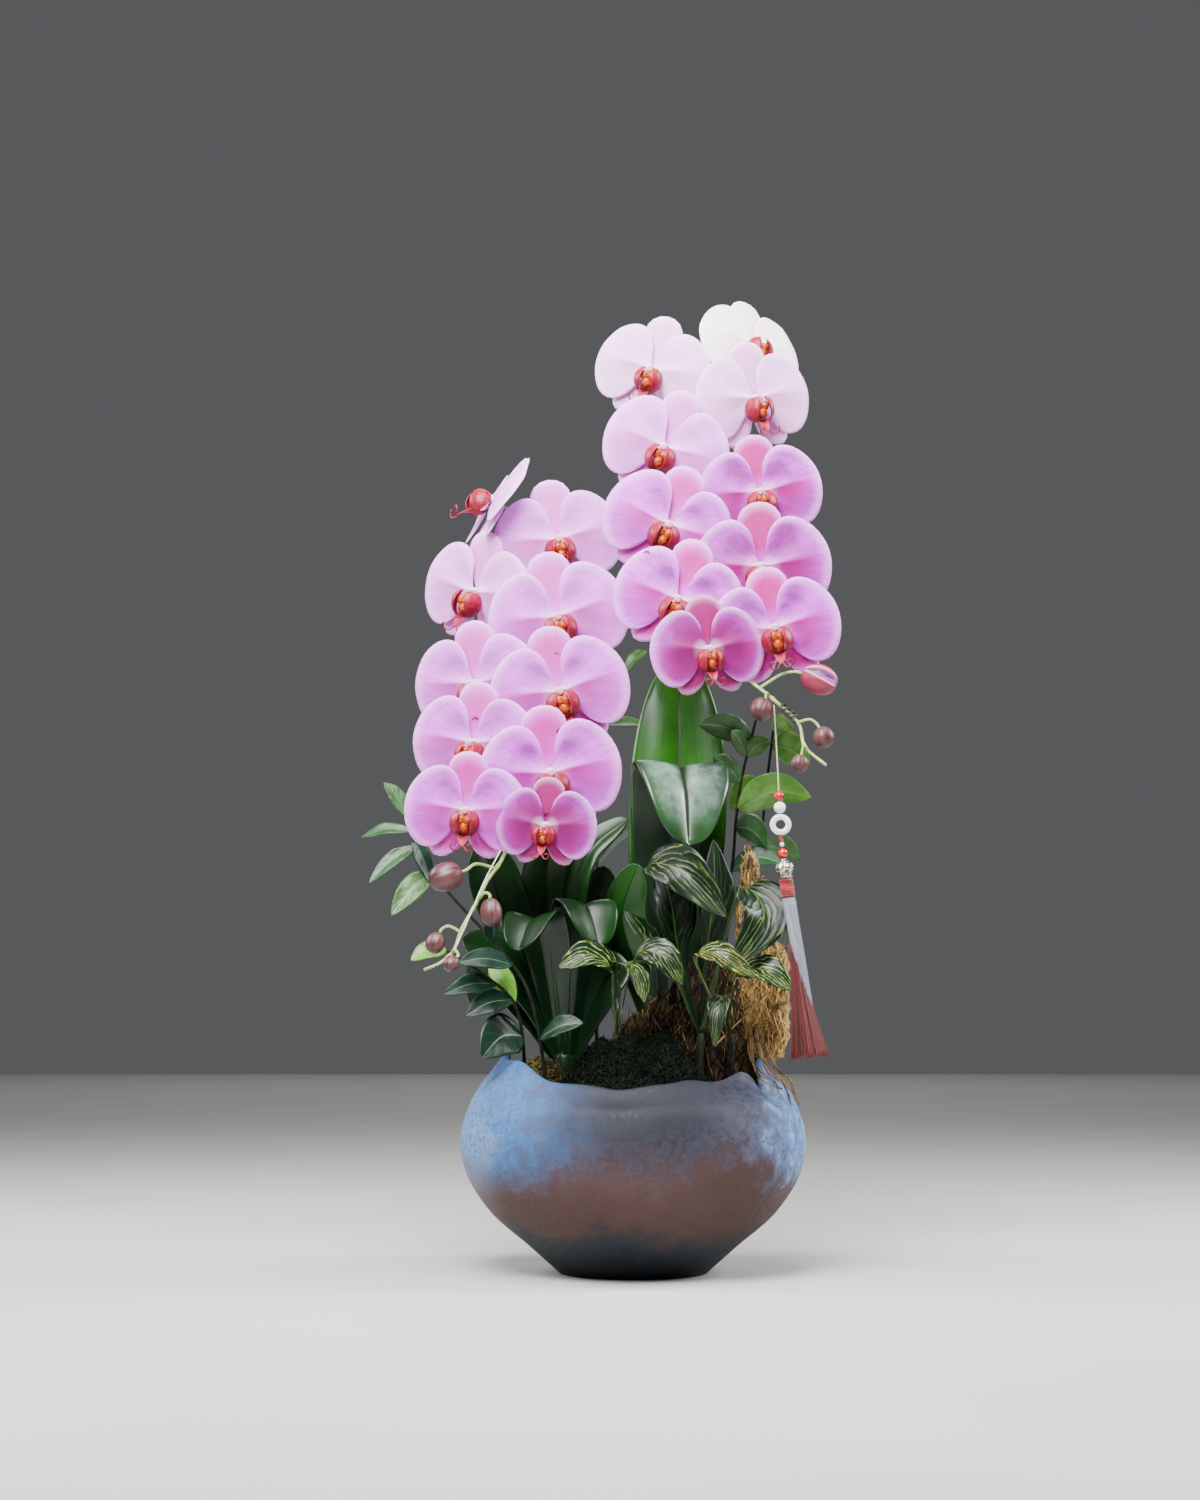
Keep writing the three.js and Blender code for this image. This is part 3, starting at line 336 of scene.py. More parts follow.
class Shade:
    """A material whose base colour is painted in layers, with short calls for the nodes that feed it."""

    def __init__(self, name, **values):
        self.material = bpy.data.materials.new(name)
        self.material.use_nodes = True
        self.tree = self.material.node_tree
        self.shader = self.tree.nodes["Principled BSDF"]
        self.base = None
        for key, value in values.items():
            self.shader.inputs[key.replace("_", " ")].default_value = value

    def node(self, kind, **settings):
        made = self.tree.nodes.new(kind)
        for key, value in settings.items():
            setattr(made, key, value)
        return made

    def feed(self, socket, value):
        if hasattr(value, "is_output"):
            self.tree.links.new(value, socket)
        else:
            socket.default_value = value

    def split(self, vector):
        made = self.node("ShaderNodeSeparateXYZ")
        self.feed(made.inputs[0], vector)
        return made.outputs

    def uv(self, layer="place"):
        parts = self.split(self.node("ShaderNodeUVMap", uv_map=layer).outputs[0])
        return parts[0], parts[1]

    def tone(self):
        """The first tone number of a part: how pale, ripe or lit it is, or its kind."""
        return self.uv("tone")[0]

    def spot(self, stretch=(1, 1, 1)):
        """Coordinates on the object, in metres, stretched along its axes."""
        mapping = self.node("ShaderNodeMapping")
        self.feed(mapping.inputs["Vector"], self.node("ShaderNodeTexCoord").outputs["Object"])
        mapping.inputs["Scale"].default_value = stretch
        return mapping.outputs[0]

    def noise(self, scale, detail=3.0, roughness=0.55, place=None):
        made = self.node("ShaderNodeTexNoise")
        self.feed(made.inputs["Vector"], place or self.spot())
        made.inputs["Scale"].default_value = scale
        made.inputs["Detail"].default_value = detail
        made.inputs["Roughness"].default_value = roughness
        return made.outputs["Fac"]

    def streaks(self, across, along, detail=3.0):
        """Noise stretched over the two place numbers of a part, different on each part."""
        u, v = self.uv()
        joined = self.node("ShaderNodeCombineXYZ")
        places = (self.times(u, across), self.times(v, along), self.uv("tone")[1])
        for socket, value in zip(joined.inputs, places):
            self.feed(socket, value)
        return self.noise(1.0, detail, place=joined.outputs[0])

    def cells(self, scale):
        made = self.node("ShaderNodeTexVoronoi")
        self.feed(made.inputs["Vector"], self.spot())
        made.inputs["Scale"].default_value = scale
        return made.outputs["Distance"]

    def ramp(self, value, stops):
        """A colour or grey ramp; stops are (position, hex code or grey)."""
        made = self.node("ShaderNodeValToRGB")
        made.color_ramp.interpolation = "EASE"
        marks = made.color_ramp.elements
        while len(marks) < len(stops):
            marks.new(0.5)
        for mark, (position, tint) in zip(marks, stops):
            mark.position = position
            mark.color = color(tint) if isinstance(tint, str) else (tint, tint, tint, 1)
        self.feed(made.inputs[0], value)
        return made.outputs[0]

    def rise(self, value, low, high, top=1.0):
        return self.ramp(value, [(low, 0.0), (high, top)])

    def fall(self, value, low, high, top=1.0):
        return self.ramp(value, [(low, top), (high, 0.0)])

    def math(self, operation, a, b=0.0, c=0.0):
        made = self.node("ShaderNodeMath", operation=operation)
        for socket, value in zip(made.inputs, (a, b, c)):
            self.feed(socket, value)
        return made.outputs[0]

    def times(self, product, *factors):
        for factor in factors:
            product = self.math("MULTIPLY", product, factor)
        return product

    def line(self, value, slope, foot):
        return self.math("MULTIPLY_ADD", value, slope, foot)

    def away(self, value, centre):
        """How far a value is from a centre."""
        return self.math("ABSOLUTE", self.math("SUBTRACT", value, centre))

    def stirred(self, value, ripple, amount):
        """A value moved up and down by a noise."""
        return self.line(self.math("SUBTRACT", ripple, 0.5), amount, value)

    def mix(self, share, a, b):
        made = self.node("ShaderNodeMix", data_type="RGBA")
        self.feed(made.inputs[0], share)
        for socket, value in ((made.inputs[6], a), (made.inputs[7], b)):
            self.feed(socket, color(value) if isinstance(value, str) else value)
        return made.outputs[2]

    def ground(self, share, dark, light):
        """The lowest layer of the base colour, between two tints."""
        self.base = self.mix(share, dark, light)

    def paint(self, tint, share):
        """Lays a tint over the base colour where its share is high."""
        self.base = self.mix(share, self.base, tint)

    def bump(self, height, strength, distance):
        made = self.node("ShaderNodeBump")
        made.inputs["Strength"].default_value = strength
        made.inputs["Distance"].default_value = distance * MM
        self.feed(made.inputs["Height"], height)
        self.feed(self.shader.inputs["Normal"], made.outputs[0])

    def finish(self, roughness=None):
        self.feed(self.shader.inputs["Base Color"], self.base)
        if roughness is not None:
            self.feed(self.shader.inputs["Roughness"], roughness)
        return self.material


def tepal_shade(name):
    """The soft skin that petals and sepals share."""
    return Shade(
        name, Subsurface_Weight=0.2, Subsurface_Scale=0.003, Subsurface_Radius=(1.0, 0.5, 0.9),
        Specular_IOR_Level=0.25, Roughness=0.55,
    )


def whiten_with_painted_light(s, pale, share):
    """Paints the top blooms white: painted light, where the lamp above washes them out."""
    s.paint("fdf0fd", s.times(pale, s.math("MAXIMUM", pale, 0.0), share))


def petal_material():
    """Lilac pink with a white heart; the blotch in each lobe and the dark pink below the crease are partly
    painted shade.
    """
    s = tepal_shade("petal")
    u, v = s.uv()
    pale = s.tone()
    fade = s.math("SUBTRACT", 1.0, pale)
    veins = s.streaks(85.0, 2.2)
    patches = s.ramp(s.streaks(3.0, 3.0, 2.0), [(0.3, 0.6), (0.65, 1.4)])
    below = s.ramp(u, [(0.0, 0.25), (0.26, 0.4), (0.4, 0.8), (0.475, 1.0), (0.5, 0.1), (0.56, 0.0)])
    near = s.ramp(v, [(0.06, 0.0), (0.2, 0.8), (0.36, 1.0), (0.62, 0.7), (0.88, 0.3), (1.0, 0.0)])
    blotch_and_shade_across = s.ramp(u, [(0.0, 0.4), (0.2, 0.75), (0.49, 0.3), (0.56, 0.55), (0.76, 1.0), (1.0, 0.4)])
    blotch_and_shade_along = s.ramp(v, [(0.1, 0.1), (0.5, 1.0), (0.8, 0.6), (0.98, 0.05)])
    # Blotch in each lobe: partly the bloom's own colour, partly painted shade.
    s.ground(s.times(blotch_and_shade_across, blotch_and_shade_along, patches, fade, 0.9), "ea50f8", "84188e")
    # Dark pink below the crease: partly the bloom's own colour, partly painted shade where the petal turns
    # down.
    s.paint("c00474", s.times(below, near, s.line(fade, 0.72, 0.12)))
    s.paint("a028c0", s.times(s.rise(veins, 0.45, 0.6), s.line(fade, 0.4, 0.08)))
    s.paint("7c0a60", s.times(pale, -1.0, s.ramp(v, [(0.45, 0.95), (0.98, 0.3)])))
    heart = s.ramp(v, [(0.04, 0.7), (0.1, 0.3), (0.28, 0.0)])
    s.paint("fbe0fc", s.math("MAXIMUM", heart, s.rise(v, 0.8, 1.0, 0.26)))
    # Painted light: the top blooms turn white.
    whiten_with_painted_light(s, pale, 0.88)
    s.bump(veins, 0.3, 0.4)
    return s.finish()


def sepal_material():
    """Pink in the middle, with finer veins and a paler edge."""
    s = tepal_shade("sepal")
    u, v = s.uv()
    pale = s.tone()
    fade = s.math("SUBTRACT", 1.0, pale)
    veins = s.streaks(34.0, 1.8)
    middle = s.ramp(u, [(0.0, 0.2), (0.3, 0.8), (0.5, 1.0), (0.7, 0.8), (1.0, 0.2)])
    along = s.ramp(v, [(0.08, 0.1), (0.35, 0.85), (0.7, 1.0), (0.9, 0.5), (1.0, 0.05)])
    s.ground(s.times(middle, along, s.line(fade, 0.9, 0.1)), "ec50f0", "b81082")
    s.paint("b02898", s.times(s.rise(veins, 0.45, 0.6), s.line(fade, 0.25, 0.05)))
    s.paint("86105c", s.times(pale, -0.85))
    s.paint("fbe0fc", s.rise(v, 0.8, 1.0, 0.26))
    # Painted light: the top blooms turn white.
    whiten_with_painted_light(s, pale, 0.85)
    s.bump(veins, 0.3, 0.35)
    return s.finish()


def lip_material():
    """Crimson lobes with darker spots, and a streaked amber crest in the middle (kind 1)."""
    s = Shade("lip", Roughness=0.42, Coat_Weight=0.06, Coat_Roughness=0.25, Specular_IOR_Level=0.35)
    spots = s.streaks(8.0, 8.0, 2.0)
    amber = s.mix(s.rise(s.streaks(16.0, 2.5, 2.0), 0.46, 0.62, 0.8), "b84a12", "7a0a10")
    # Brighter as v rises, to the lobes' upper rims and the blade's tip: partly own colour, partly painted
    # highlight.
    s.ground(s.ramp(s.uv()[1], [(0.0, 0.2), (0.45, 0.35), (1.0, 1.0)]), "78021c", "a00c34")
    s.paint("50020c", s.rise(spots, 0.52, 0.62, 0.7))
    s.paint(amber, s.rise(s.tone(), 0.45, 0.55))
    s.bump(spots, 0.25, 0.4)
    return s.finish()


def column_material():
    s = Shade("column", Roughness=0.45, Subsurface_Weight=0.3, Subsurface_Scale=0.003)
    tint = s.ramp(s.uv()[1], [(0.0, "fdf6fb"), (0.6, "f7dff0"), (1.0, "e58fc2")])
    s.ground(s.rise(s.noise(900), 0.4, 0.7, 0.25), tint, "e9a5cf")
    return s.finish()


def stem_material():
    s = Shade("stem", Roughness=0.5, Specular_IOR_Level=0.4)
    fleck = s.noise(700, 2, place=s.spot((1, 1, 0.25)))
    s.ground(s.rise(s.noise(55, 4), 0.35, 0.65), "a7bd74", "879a55")
    s.paint("6b4a45", s.rise(fleck, 0.55, 0.75, 0.5))
    s.bump(fleck, 0.2, 0.2)
    return s.finish()


def bud_material():
    """Rosy brown skin, green at its foot, dark at its seams and tip; a ripe bud is pink and gapes."""
    s = Shade("bud", Roughness=0.42, Subsurface_Weight=0.1, Subsurface_Scale=0.002)
    u, v = s.uv()
    ripe = s.tone()
    streaks = s.streaks(24.0, 2.0)
    s.ground(s.rise(streaks, 0.35, 0.7), "603638", "4c282c")
    s.paint("6f6a3c", s.fall(v, 0.0, 0.2, 0.5))
    s.paint("981444", s.times(ripe, 0.6))
    s.paint("240a0e", s.times(s.math("SUBTRACT", 1.0, ripe), s.rise(v, 0.5, 1.0, 0.7)))
    seam = s.math("ABSOLUTE", s.math("SINE", s.times(u, 3 * math.pi)))
    s.paint("3c1018", s.fall(seam, 0.0, 0.26, 0.9))
    gap = s.math("SUBTRACT", s.line(v, GAPE_GROWTH, GAPE_FOOT), s.away(u, FRONT_SEAM))
    outer = s.times(ripe, s.rise(v, 0.08, 0.2))
    inner = s.mix(s.rise(streaks, 0.4, 0.6), "4c1040", "8c4498")
    s.paint(inner, s.times(outer, s.rise(gap, 0.0, 0.01)))
    s.paint("e4949c", s.times(outer, s.fall(s.math("ABSOLUTE", gap), 0.004, 0.018, 0.9)))
    s.bump(streaks, 0.25, 0.3)
    return s.finish()


def orchid_leaf_material(name="orchid_leaf", coat=0.12, coat_roughness=0.14, bloom=0.0):
    """A thick glossy leaf with faint lengthwise grain, a darker midrib and, where it bends, a pale painted
    sheen as strong as bloom.
    """
    s = Shade(name, Roughness=0.3, Coat_Weight=coat, Coat_Roughness=coat_roughness, Specular_IOR_Level=0.28)
    u, v = s.uv()
    grain = s.streaks(60.0, 3.0)
    cloud = s.rise(s.noise(18), 0.3, 0.7)
    middle = s.away(u, 0.5)
    bright = s.mix(cloud, "144c04", "2a7408")
    s.ground(cloud, "05160a", "0d2a12")
    # Painted light: leaves with a high lit number are painted bright green towards their tips.
    s.paint(bright, s.times(s.tone(), s.ramp(v, [(0.35, 0.1), (0.65, 1.0)])))
    s.paint("06180a", s.rise(grain, 0.45, 0.7, 0.4))
    # Painted sheen: a pale, patchy reflection over the leaf's halves where it bends, scaled by bloom.
    halves = s.ramp(middle, [(0.02, 0.0), (0.1, 1.0), (0.34, 0.8), (0.48, 0.0)])
    bend = s.ramp(v, [(0.58, 0.0), (0.68, 1.0), (0.84, 0.7), (0.96, 0.0)])
    sheen_patches = s.ramp(s.noise(90, 4, 0.65), [(0.35, 0.3), (0.6, 1.0)])
    s.paint("a8ccba", s.times(halves, bend, sheen_patches, bloom))
    s.paint("051408", s.fall(middle, 0.0, 0.03, 0.8))
    s.bump(grain, 0.15, 0.5)
    return s.finish()


def branch_leaf_material():
    """A thinner leaf, blue green, painted lime where lit and near black where in shade, with a pale midrib
    and faint slanted ribs.
    """
    s = Shade("branch_leaf", Roughness=0.36, Specular_IOR_Level=0.35)
    u, v = s.uv()
    lit = s.tone()
    middle = s.away(u, 0.5)
    slanted = s.line(middle, -3.2, s.times(v, 6.0))
    ribs = s.math("ABSOLUTE", s.math("SINE", s.times(slanted, math.pi)))
    cloud = s.rise(s.noise(60), 0.3, 0.7)
    s.ground(cloud, "0a2416", "1b4430")
    # Painted light and shade: a lit number above zero paints the leaf lime, one below zero near black.
    s.paint(s.mix(cloud, "4c8c1c", "7fb83c"), lit)
    s.paint("071208", s.times(lit, -1.0))
    s.paint("4a7a58", s.fall(ribs, 0.0, 0.12, 0.2))
    s.paint("86ac88", s.fall(middle, 0.0, 0.03, 0.45))
    s.bump(ribs, 0.12, 0.6)
    return s.finish()


def striped_leaf_material():
    """Very dark glossy green, with uneven lime and cream streaks that sweep from the midrib outwards, painted
    lighter where lit.
    """
    s = Shade("striped_leaf", Roughness=0.36, Specular_IOR_Level=0.3)
    u, v = s.uv()
    lit = s.tone()
    middle = s.away(u, 0.5)
    slanted = s.line(s.streaks(3.0, 4.0), 2.8, s.line(middle, -6.0, s.times(v, 6.5)))
    bands = s.line(s.math("SINE", s.times(slanted, math.tau)), 0.5, 0.5)
    breaks = s.streaks(9.0, 11.0)
    broken = s.ramp(breaks, [(0.38, 0.1), (0.6, 1.0)])
    # Painted light: the leaf and its lime and cream streaks are painted lighter by its lit number.
    s.ground(lit, "030c06", "0c260c")
    s.paint(s.mix(lit, "143a0f", "6c8c20"), s.times(s.rise(bands, 0.6, 0.95), broken))
    s.paint("c8d088", s.times(s.rise(bands, 0.92, 0.99, 0.8), broken, lit))
    s.paint("5a3c10", s.times(s.rise(breaks, 0.54, 0.6, 0.8), s.rise(lit, 0.85, 1.0)))
    s.paint("5a8438", s.fall(middle, 0.0, 0.02, 0.6))
    s.bump(bands, 0.25, 0.6)
    return s.finish()


def bark_material():
    s = Shade("bark", Roughness=0.9)
    grain = s.noise(260, 5)
    s.ground(s.rise(grain, 0.35, 0.65), "2a1a10", "6a4a30")
    s.paint("1c120c", s.fall(s.cells(110), 0.0, 0.5, 0.6))
    s.bump(grain, 0.7, 1.5)
    return s.finish()


def twig_material():
    s = Shade("twig", Roughness=0.7, Specular_IOR_Level=0.15)
    grain = s.noise(600, place=s.spot((1, 1, 0.2)))
    s.ground(s.rise(grain, 0.4, 0.7), "0c0e0c", "22261a")
    s.bump(grain, 0.4, 0.3)
    return s.finish()


def moss_material():
    s = Shade("moss", Roughness=0.85, Specular_IOR_Level=0.2)
    s.ground(s.rise(s.noise(30), 0.3, 0.7), "020603", "071407")
    s.paint("122c0a", s.times(s.rise(s.uv()[1], 0.3, 1.0, 0.8), s.tone()))
    return s.finish()


def fibre_material(name, dark, light, tip):
    s = Shade(name, Roughness=0.8, Specular_IOR_Level=0.25)
    lit = s.tone()
    grain = s.noise(220, 4)
    # Dark to light by the lit number: painted light on the fern slab, a tone at random on the sphagnum.
    s.ground(lit, dark, light)
    s.paint(tip, s.times(s.rise(grain, 0.4, 0.65, 0.6), s.line(lit, 0.8, 0.2)))
    # Painted shade: dark patches in the hollows between fibres.
    s.paint(dark, s.fall(s.noise(110), 0.36, 0.48, 0.85))
    s.bump(grain, 0.7, 0.8)
    return s.finish()


def pot_material():
    """Matte glaze: blue shoulders, violet grey front, terracotta band, slate foot; painted light at the
    sides, painted shade above in front.
    """
    s = Shade("pot_glaze", Specular_IOR_Level=0.3)
    x, _, z = s.split(s.node("ShaderNodeTexCoord").outputs["Object"])
    cloud = s.noise(14, 4, 0.6, s.spot((1, 1, 1.4)))
    mottle = s.noise(60, 5, 0.75)
    fine = s.noise(260, 4, 0.7)
    height = s.times(z, 1 / (POT_RIM_HEIGHT * MM))
    level = s.stirred(s.stirred(s.stirred(height, cloud, 0.3), mottle, 0.34), fine, 0.16)
    side = s.times(s.math("ADD", x, -GLAZE_AND_LIGHT_SHIFT * MM), 1 / (POT_BELLY_RADIUS * MM))
    middle = s.fall(s.math("ABSOLUTE", side), 0.15, 0.75)
    side = s.stirred(s.stirred(side, cloud, 0.5), mottle, 0.3)
    above = s.rise(level, 0.4, 0.66)
    front = s.ramp(mottle, [(0.34, "221f28"), (0.46, "272c38"), (0.58, "2f3d52"), (0.7, "35333e")])
    foot = [(0.06, "080f14"), (0.15, "101b24"), (0.21, "221e22"), (0.28, "3c2622"), (0.5, "47302c")]
    front = s.mix(s.rise(fine, 0.46, 0.56, 0.7), front, "3e343a")
    s.ground(s.rise(level, 0.46, 0.7), s.ramp(level, foot), front)
    warm = s.ramp(level, [(0.16, 0.0), (0.26, 1.0), (0.48, 1.0), (0.6, 0.0)])
    s.paint("30150f", s.times(warm, s.rise(side, 0.1, 0.6, 0.6)))
    # Blue shoulders: partly the glaze's own blue, partly painted light from the side lamps, strongest on the
    # right.
    left = s.ramp(mottle, [(0.36, "46588a"), (0.48, "2a6aa4"), (0.56, "2674b4"), (0.66, "5a7cac")])
    s.paint(left, s.times(s.rise(s.times(side, -1.0), 0.2, 0.9, 0.9), above))
    right = s.ramp(mottle, [(0.36, "6282ba"), (0.5, "679ade"), (0.66, "98c4f4")])
    s.paint(right, s.times(s.rise(side, 0.46, 1.0, 0.9), above))
    # Painted highlight: pale silver blue along the pot's left and right edges.
    painted_edge_highlight = s.rise(s.math("ABSOLUTE", side), 0.8, 1.0, 0.34)
    s.paint("9cb4dc", s.times(painted_edge_highlight, s.ramp(level, [(0.3, 0.2), (0.6, 1.0)])))
    s.paint("4c4456", s.times(s.rise(fine, 0.47, 0.57, 0.55), above))
    # Painted shade: the upper front under the foliage is painted near black.
    s.paint("0e121d", s.times(s.rise(height, 0.45, 0.8, 0.92), middle))
    s.paint("20232c", s.rise(s.noise(620, 2), 0.58, 0.72, 0.45))
    s.bump(fine, 0.14, 0.8)
    return s.finish(s.ramp(fine, [(0.3, 0.55), (0.7, 0.72)]))


def thread_material(name, dark, light, turns=160.0):
    s = Shade(name, Roughness=0.75, Sheen_Weight=0.3)
    u, v = s.uv()
    twist = s.math("SINE", s.line(v, turns, s.times(u, math.tau)))
    s.ground(s.rise(twist, 0.0, 1.0), dark, light)
    s.bump(twist, 0.5, 0.3)
    return s.finish()


def strand_material(name, dark, light):
    s = Shade(name, Roughness=0.55, Sheen_Weight=0.1)
    streaks = s.streaks(90.0, 1.0, 2.0)
    s.ground(s.tone(), dark, light)
    s.paint(dark, s.rise(streaks, 0.4, 0.7, 0.5))
    s.bump(streaks, 0.5, 0.4)
    return s.finish()


def gem_material(name, dark, light, roughness=0.12):
    s = Shade(
        name, Roughness=roughness, Coat_Weight=0.5, Coat_Roughness=0.08, Subsurface_Weight=0.25,
        Subsurface_Scale=0.004,
    )
    s.ground(s.rise(s.noise(160), 0.3, 0.7), dark, light)
    return s.finish()


def metal_material():
    s = Shade("cap_metal", Metallic=1.0)
    wear = s.noise(500, 4)
    s.ground(s.rise(wear, 0.35, 0.7), "8a857c", "e8e4dc")
    s.bump(wear, 0.3, 0.3)
    return s.finish(s.ramp(wear, [(0.3, 0.25), (0.7, 0.45)]))


def coated_wire_material(name, dark, light):
    s = Shade(name, Roughness=0.45)
    s.ground(s.rise(s.noise(800, 2), 0.4, 0.7), dark, light)
    return s.finish()


def floor_material():
    s = Shade("floor_paint", Roughness=0.75)
    s.ground(s.rise(s.noise(3, 2), 0.3, 0.7), "c4c2bf", "cac8c5")
    return s.finish()


# Camera, and the charm's line and thread, which come first

CAMERA_PLACE = (-0.027, -1.826, 0.195)
CAMERA_TILT = 97.25
CAMERA_LENS = 52.8
SENSOR_WIDTH = 36


def add_camera():
    data = bpy.data.cameras.new("camera")
    data.sensor_width = SENSOR_WIDTH
    data.lens = CAMERA_LENS
    camera = linked("camera", data)
    camera.location = CAMERA_PLACE
    camera.rotation_euler = (math.radians(CAMERA_TILT), 0, 0)
    bpy.context.scene.camera = camera


CHARM_LINE = [
    (113, -74.2, 454.4), (115, -76, 410), (116.5, -77, 372), (118, -78, 340), (121, -79, 312),
    (127, -80, 262), (139, -82, 170),
]
charm_line = Path(CHARM_LINE)


def add_thread():
    """The charm's thread: a cord from the right stem to the first bead."""
    ends = [0, 0.5 * THREAD_LENGTH / charm_line.length, THREAD_LENGTH / charm_line.length]
    route = Path([charm_line.at_length(share) for share in ends])
    points = route.spaced(THREAD_STEPS)
    data = bpy.data.curves.new("charm_thread_line", "CURVE")
    data.dimensions = "3D"
    data.bevel_depth = THREAD_DIAMETER / 2 * MM
    data.bevel_resolution = 3
    data.use_fill_caps = True
    line = data.splines.new("POLY")
    line.points.add(len(points) - 1)
    for corner, point in zip(line.points, points):
        corner.co = (*(point * MM), 1)
    data.materials.append(thread_material("thread", "a89a7c", "efe6d0"))
    thread = linked("charm_thread_line", data)
    settle(thread, "thread", "charm_thread")
    return thread, points[0] * MM


# Pot

# The outer wall from foot to rim, as radius and height
WALL = [Vector(corner) for corner in (
    (POT_FOOT_RADIUS, 0), (84, 21), (119, 52), (0.985 * POT_BELLY_RADIUS, 88),
    (POT_BELLY_RADIUS, 107), (134, 134), (POT_RIM_RADIUS, POT_RIM_HEIGHT),
)]
WALL_END = len(WALL) - 1


def wall_direction(k):
    """Direction at a corner of the wall, weighted by the lengths of the spans beside it."""
    before, after = WALL[k] - WALL[max(k - 1, 0)], WALL[min(k + 1, WALL_END)] - WALL[k]
    if k in (0, WALL_END):
        return (before + after).normalized()
    turn = before.normalized() * after.length + after.normalized() * before.length
    return turn / (before.length + after.length)


def wall_at(place):
    k = min(int(place), WALL_END - 1)
    t = place - k
    span = WALL[k + 1] - WALL[k]
    v0, v1 = wall_direction(k) * span.length, wall_direction(k + 1) * span.length
    curve = (v0 + v1 - span * 2) * t ** 3
    return curve + (span * 3 - v0 * 2 - v1) * t ** 2 + v0 * t + WALL[k]


def wall_point(share):
    """A point of the outer wall, and its direction there."""
    place = share * WALL_END
    step = 1e-3
    ahead = wall_at(min(place + step, WALL_END)) - wall_at(max(place - step, 0))
    return wall_at(place), ahead.normalized()


def inner_wall_point(share):
    point, ahead = wall_point(share)
    return point[0] - POT_WALL * ahead[1], point[1] + POT_WALL * ahead[0]


def rim_wave(angle):
    """Height that the rim gains at an angle from the front, positive to the right."""

    def bump(centre, width):
        return hump(angle, math.radians(centre), math.radians(width))

    front = 1 / (1 + (angle / math.radians(47)) ** 8)
    back = (1 - front) * 2.5 * math.sin(5 * angle + 0.6)
    ripples = 3 * bump(23, 8) - 4 * bump(-6, 10) + 8 * bump(-84, 6)
    pleat = PLEAT_DEPTH * hump(angle, PLEAT_ANGLE, math.radians(6.5))
    return ripples + back - FRONT_DIP * front - pleat


def waved(radius, height, around):
    """A corner of a turned body, moved so that its upper edge follows the wave."""
    even = around - math.pi
    angle = even - 0.35 * math.sin(even - PLEAT_ANGLE)
    rise = smoothstep(RIM_WAVES_FROM, POT_RIM_HEIGHT, height) * rim_wave(angle)
    spread = radius - 0.35 * rise * min(1, radius / POT_RIM_RADIUS)
    return Vector((spread * math.sin(angle), -spread * math.cos(angle), height + rise))


def add_pot():
    profile = [(0.01, 0)]
    for k in range(33):
        point, _ = wall_point(k / 32)
        profile.append((point[0], point[1]))
    lip = POT_RIM_RADIUS - 0.5 * POT_WALL
    profile += [(POT_RIM_RADIUS - 0.6, POT_RIM_HEIGHT + 1.3), (lip, POT_RIM_HEIGHT + 2.3)]
    profile += [(lip - 2.6, POT_RIM_HEIGHT + 1.6)]
    for k in range(16):
        profile.append(inner_wall_point(1 - 0.88 * k / 15))
    profile.append((0.01, POT_WALL + 2))
    last = len(profile) - 1
    piece = Piece()

    def surface(u, v):
        radius, height = profile[round(v * last)]
        return waved(radius, height, 2 * math.pi * u)

    piece.grid(216, last, surface)
    settle(piece.build("pot_body", [pot_material()]), "pot_glaze", "pot")


# Blooms

RIGHT_BLOOMS = [
    ((108, 75, 799), 32, -14, 6, 52), ((19, 28, 763), -12, 6, 16, 51), ((105, 12, 733), 20, 8, -10, 52),
    ((29, 2, 687), -8, 8, 22, 54), ((108, -10, 645), -2, 8, -8, 52), ((30, -22, 614), 0, 8, 22, 55),
    ((107, -34, 576), -6, 8, -2, 57), ((38, -46, 546), -6, 8, 18, 54), ((115, -64, 519), -4, 8, -10, 53),
    ((60, -74, 500), 8, 8, -6, 46),
]
LEFT_BLOOMS = [
    ((-117, 28, 647), -72, -30, -6, 52), ((-63, 14, 610), 4, 8, -10, 54),
    ((-133, 19, 566), -32, 8, 16, 54), ((-62, -13, 538), 0, 8, -12, 58),
    ((-130, -17, 481), -18, 8, -3, 55), ((-60, -39, 471), 2, 8, -13, 57),
    ((-130, -43, 428), -13, 8, 6, 52), ((-67, -63, 401), 4, 8, -8, 57), ((-134, -78, 369), -2, 8, 3, 49),
    ((-70, -88, 356), -8, 8, 5, 40),
]
# How pale each bloom is, from the top of its spike down: above zero painted light, so the top ones are nearly
# white; below zero deeper pink, partly the bloom's own and partly painted shade.
RIGHT_PAINTED_LIGHT_AND_TINT = [1.0, 0.7, 0.65, 0.45, -0.35, 0.15, -0.5, 0.05, -0.15, -1.0]
LEFT_PAINTED_LIGHT_AND_TINT = [0.6, 0.4, 0.5, 0.3, 0.3, 0.2, 0.25, 0.1, 0.1, -1.0]


def rotation(degrees, axis):
    return Matrix.Rotation(math.radians(degrees), 4, axis)


def bloom_matrix(bloom):
    at, yaw, pitch, roll, length = bloom
    turn = rotation(90, "X") @ rotation(yaw, "Y") @ rotation(pitch, "X") @ rotation(-roll, "Z")
    return Matrix.Translation(at) @ turn @ Matrix.Scale(length / PETAL_LENGTH, 4)


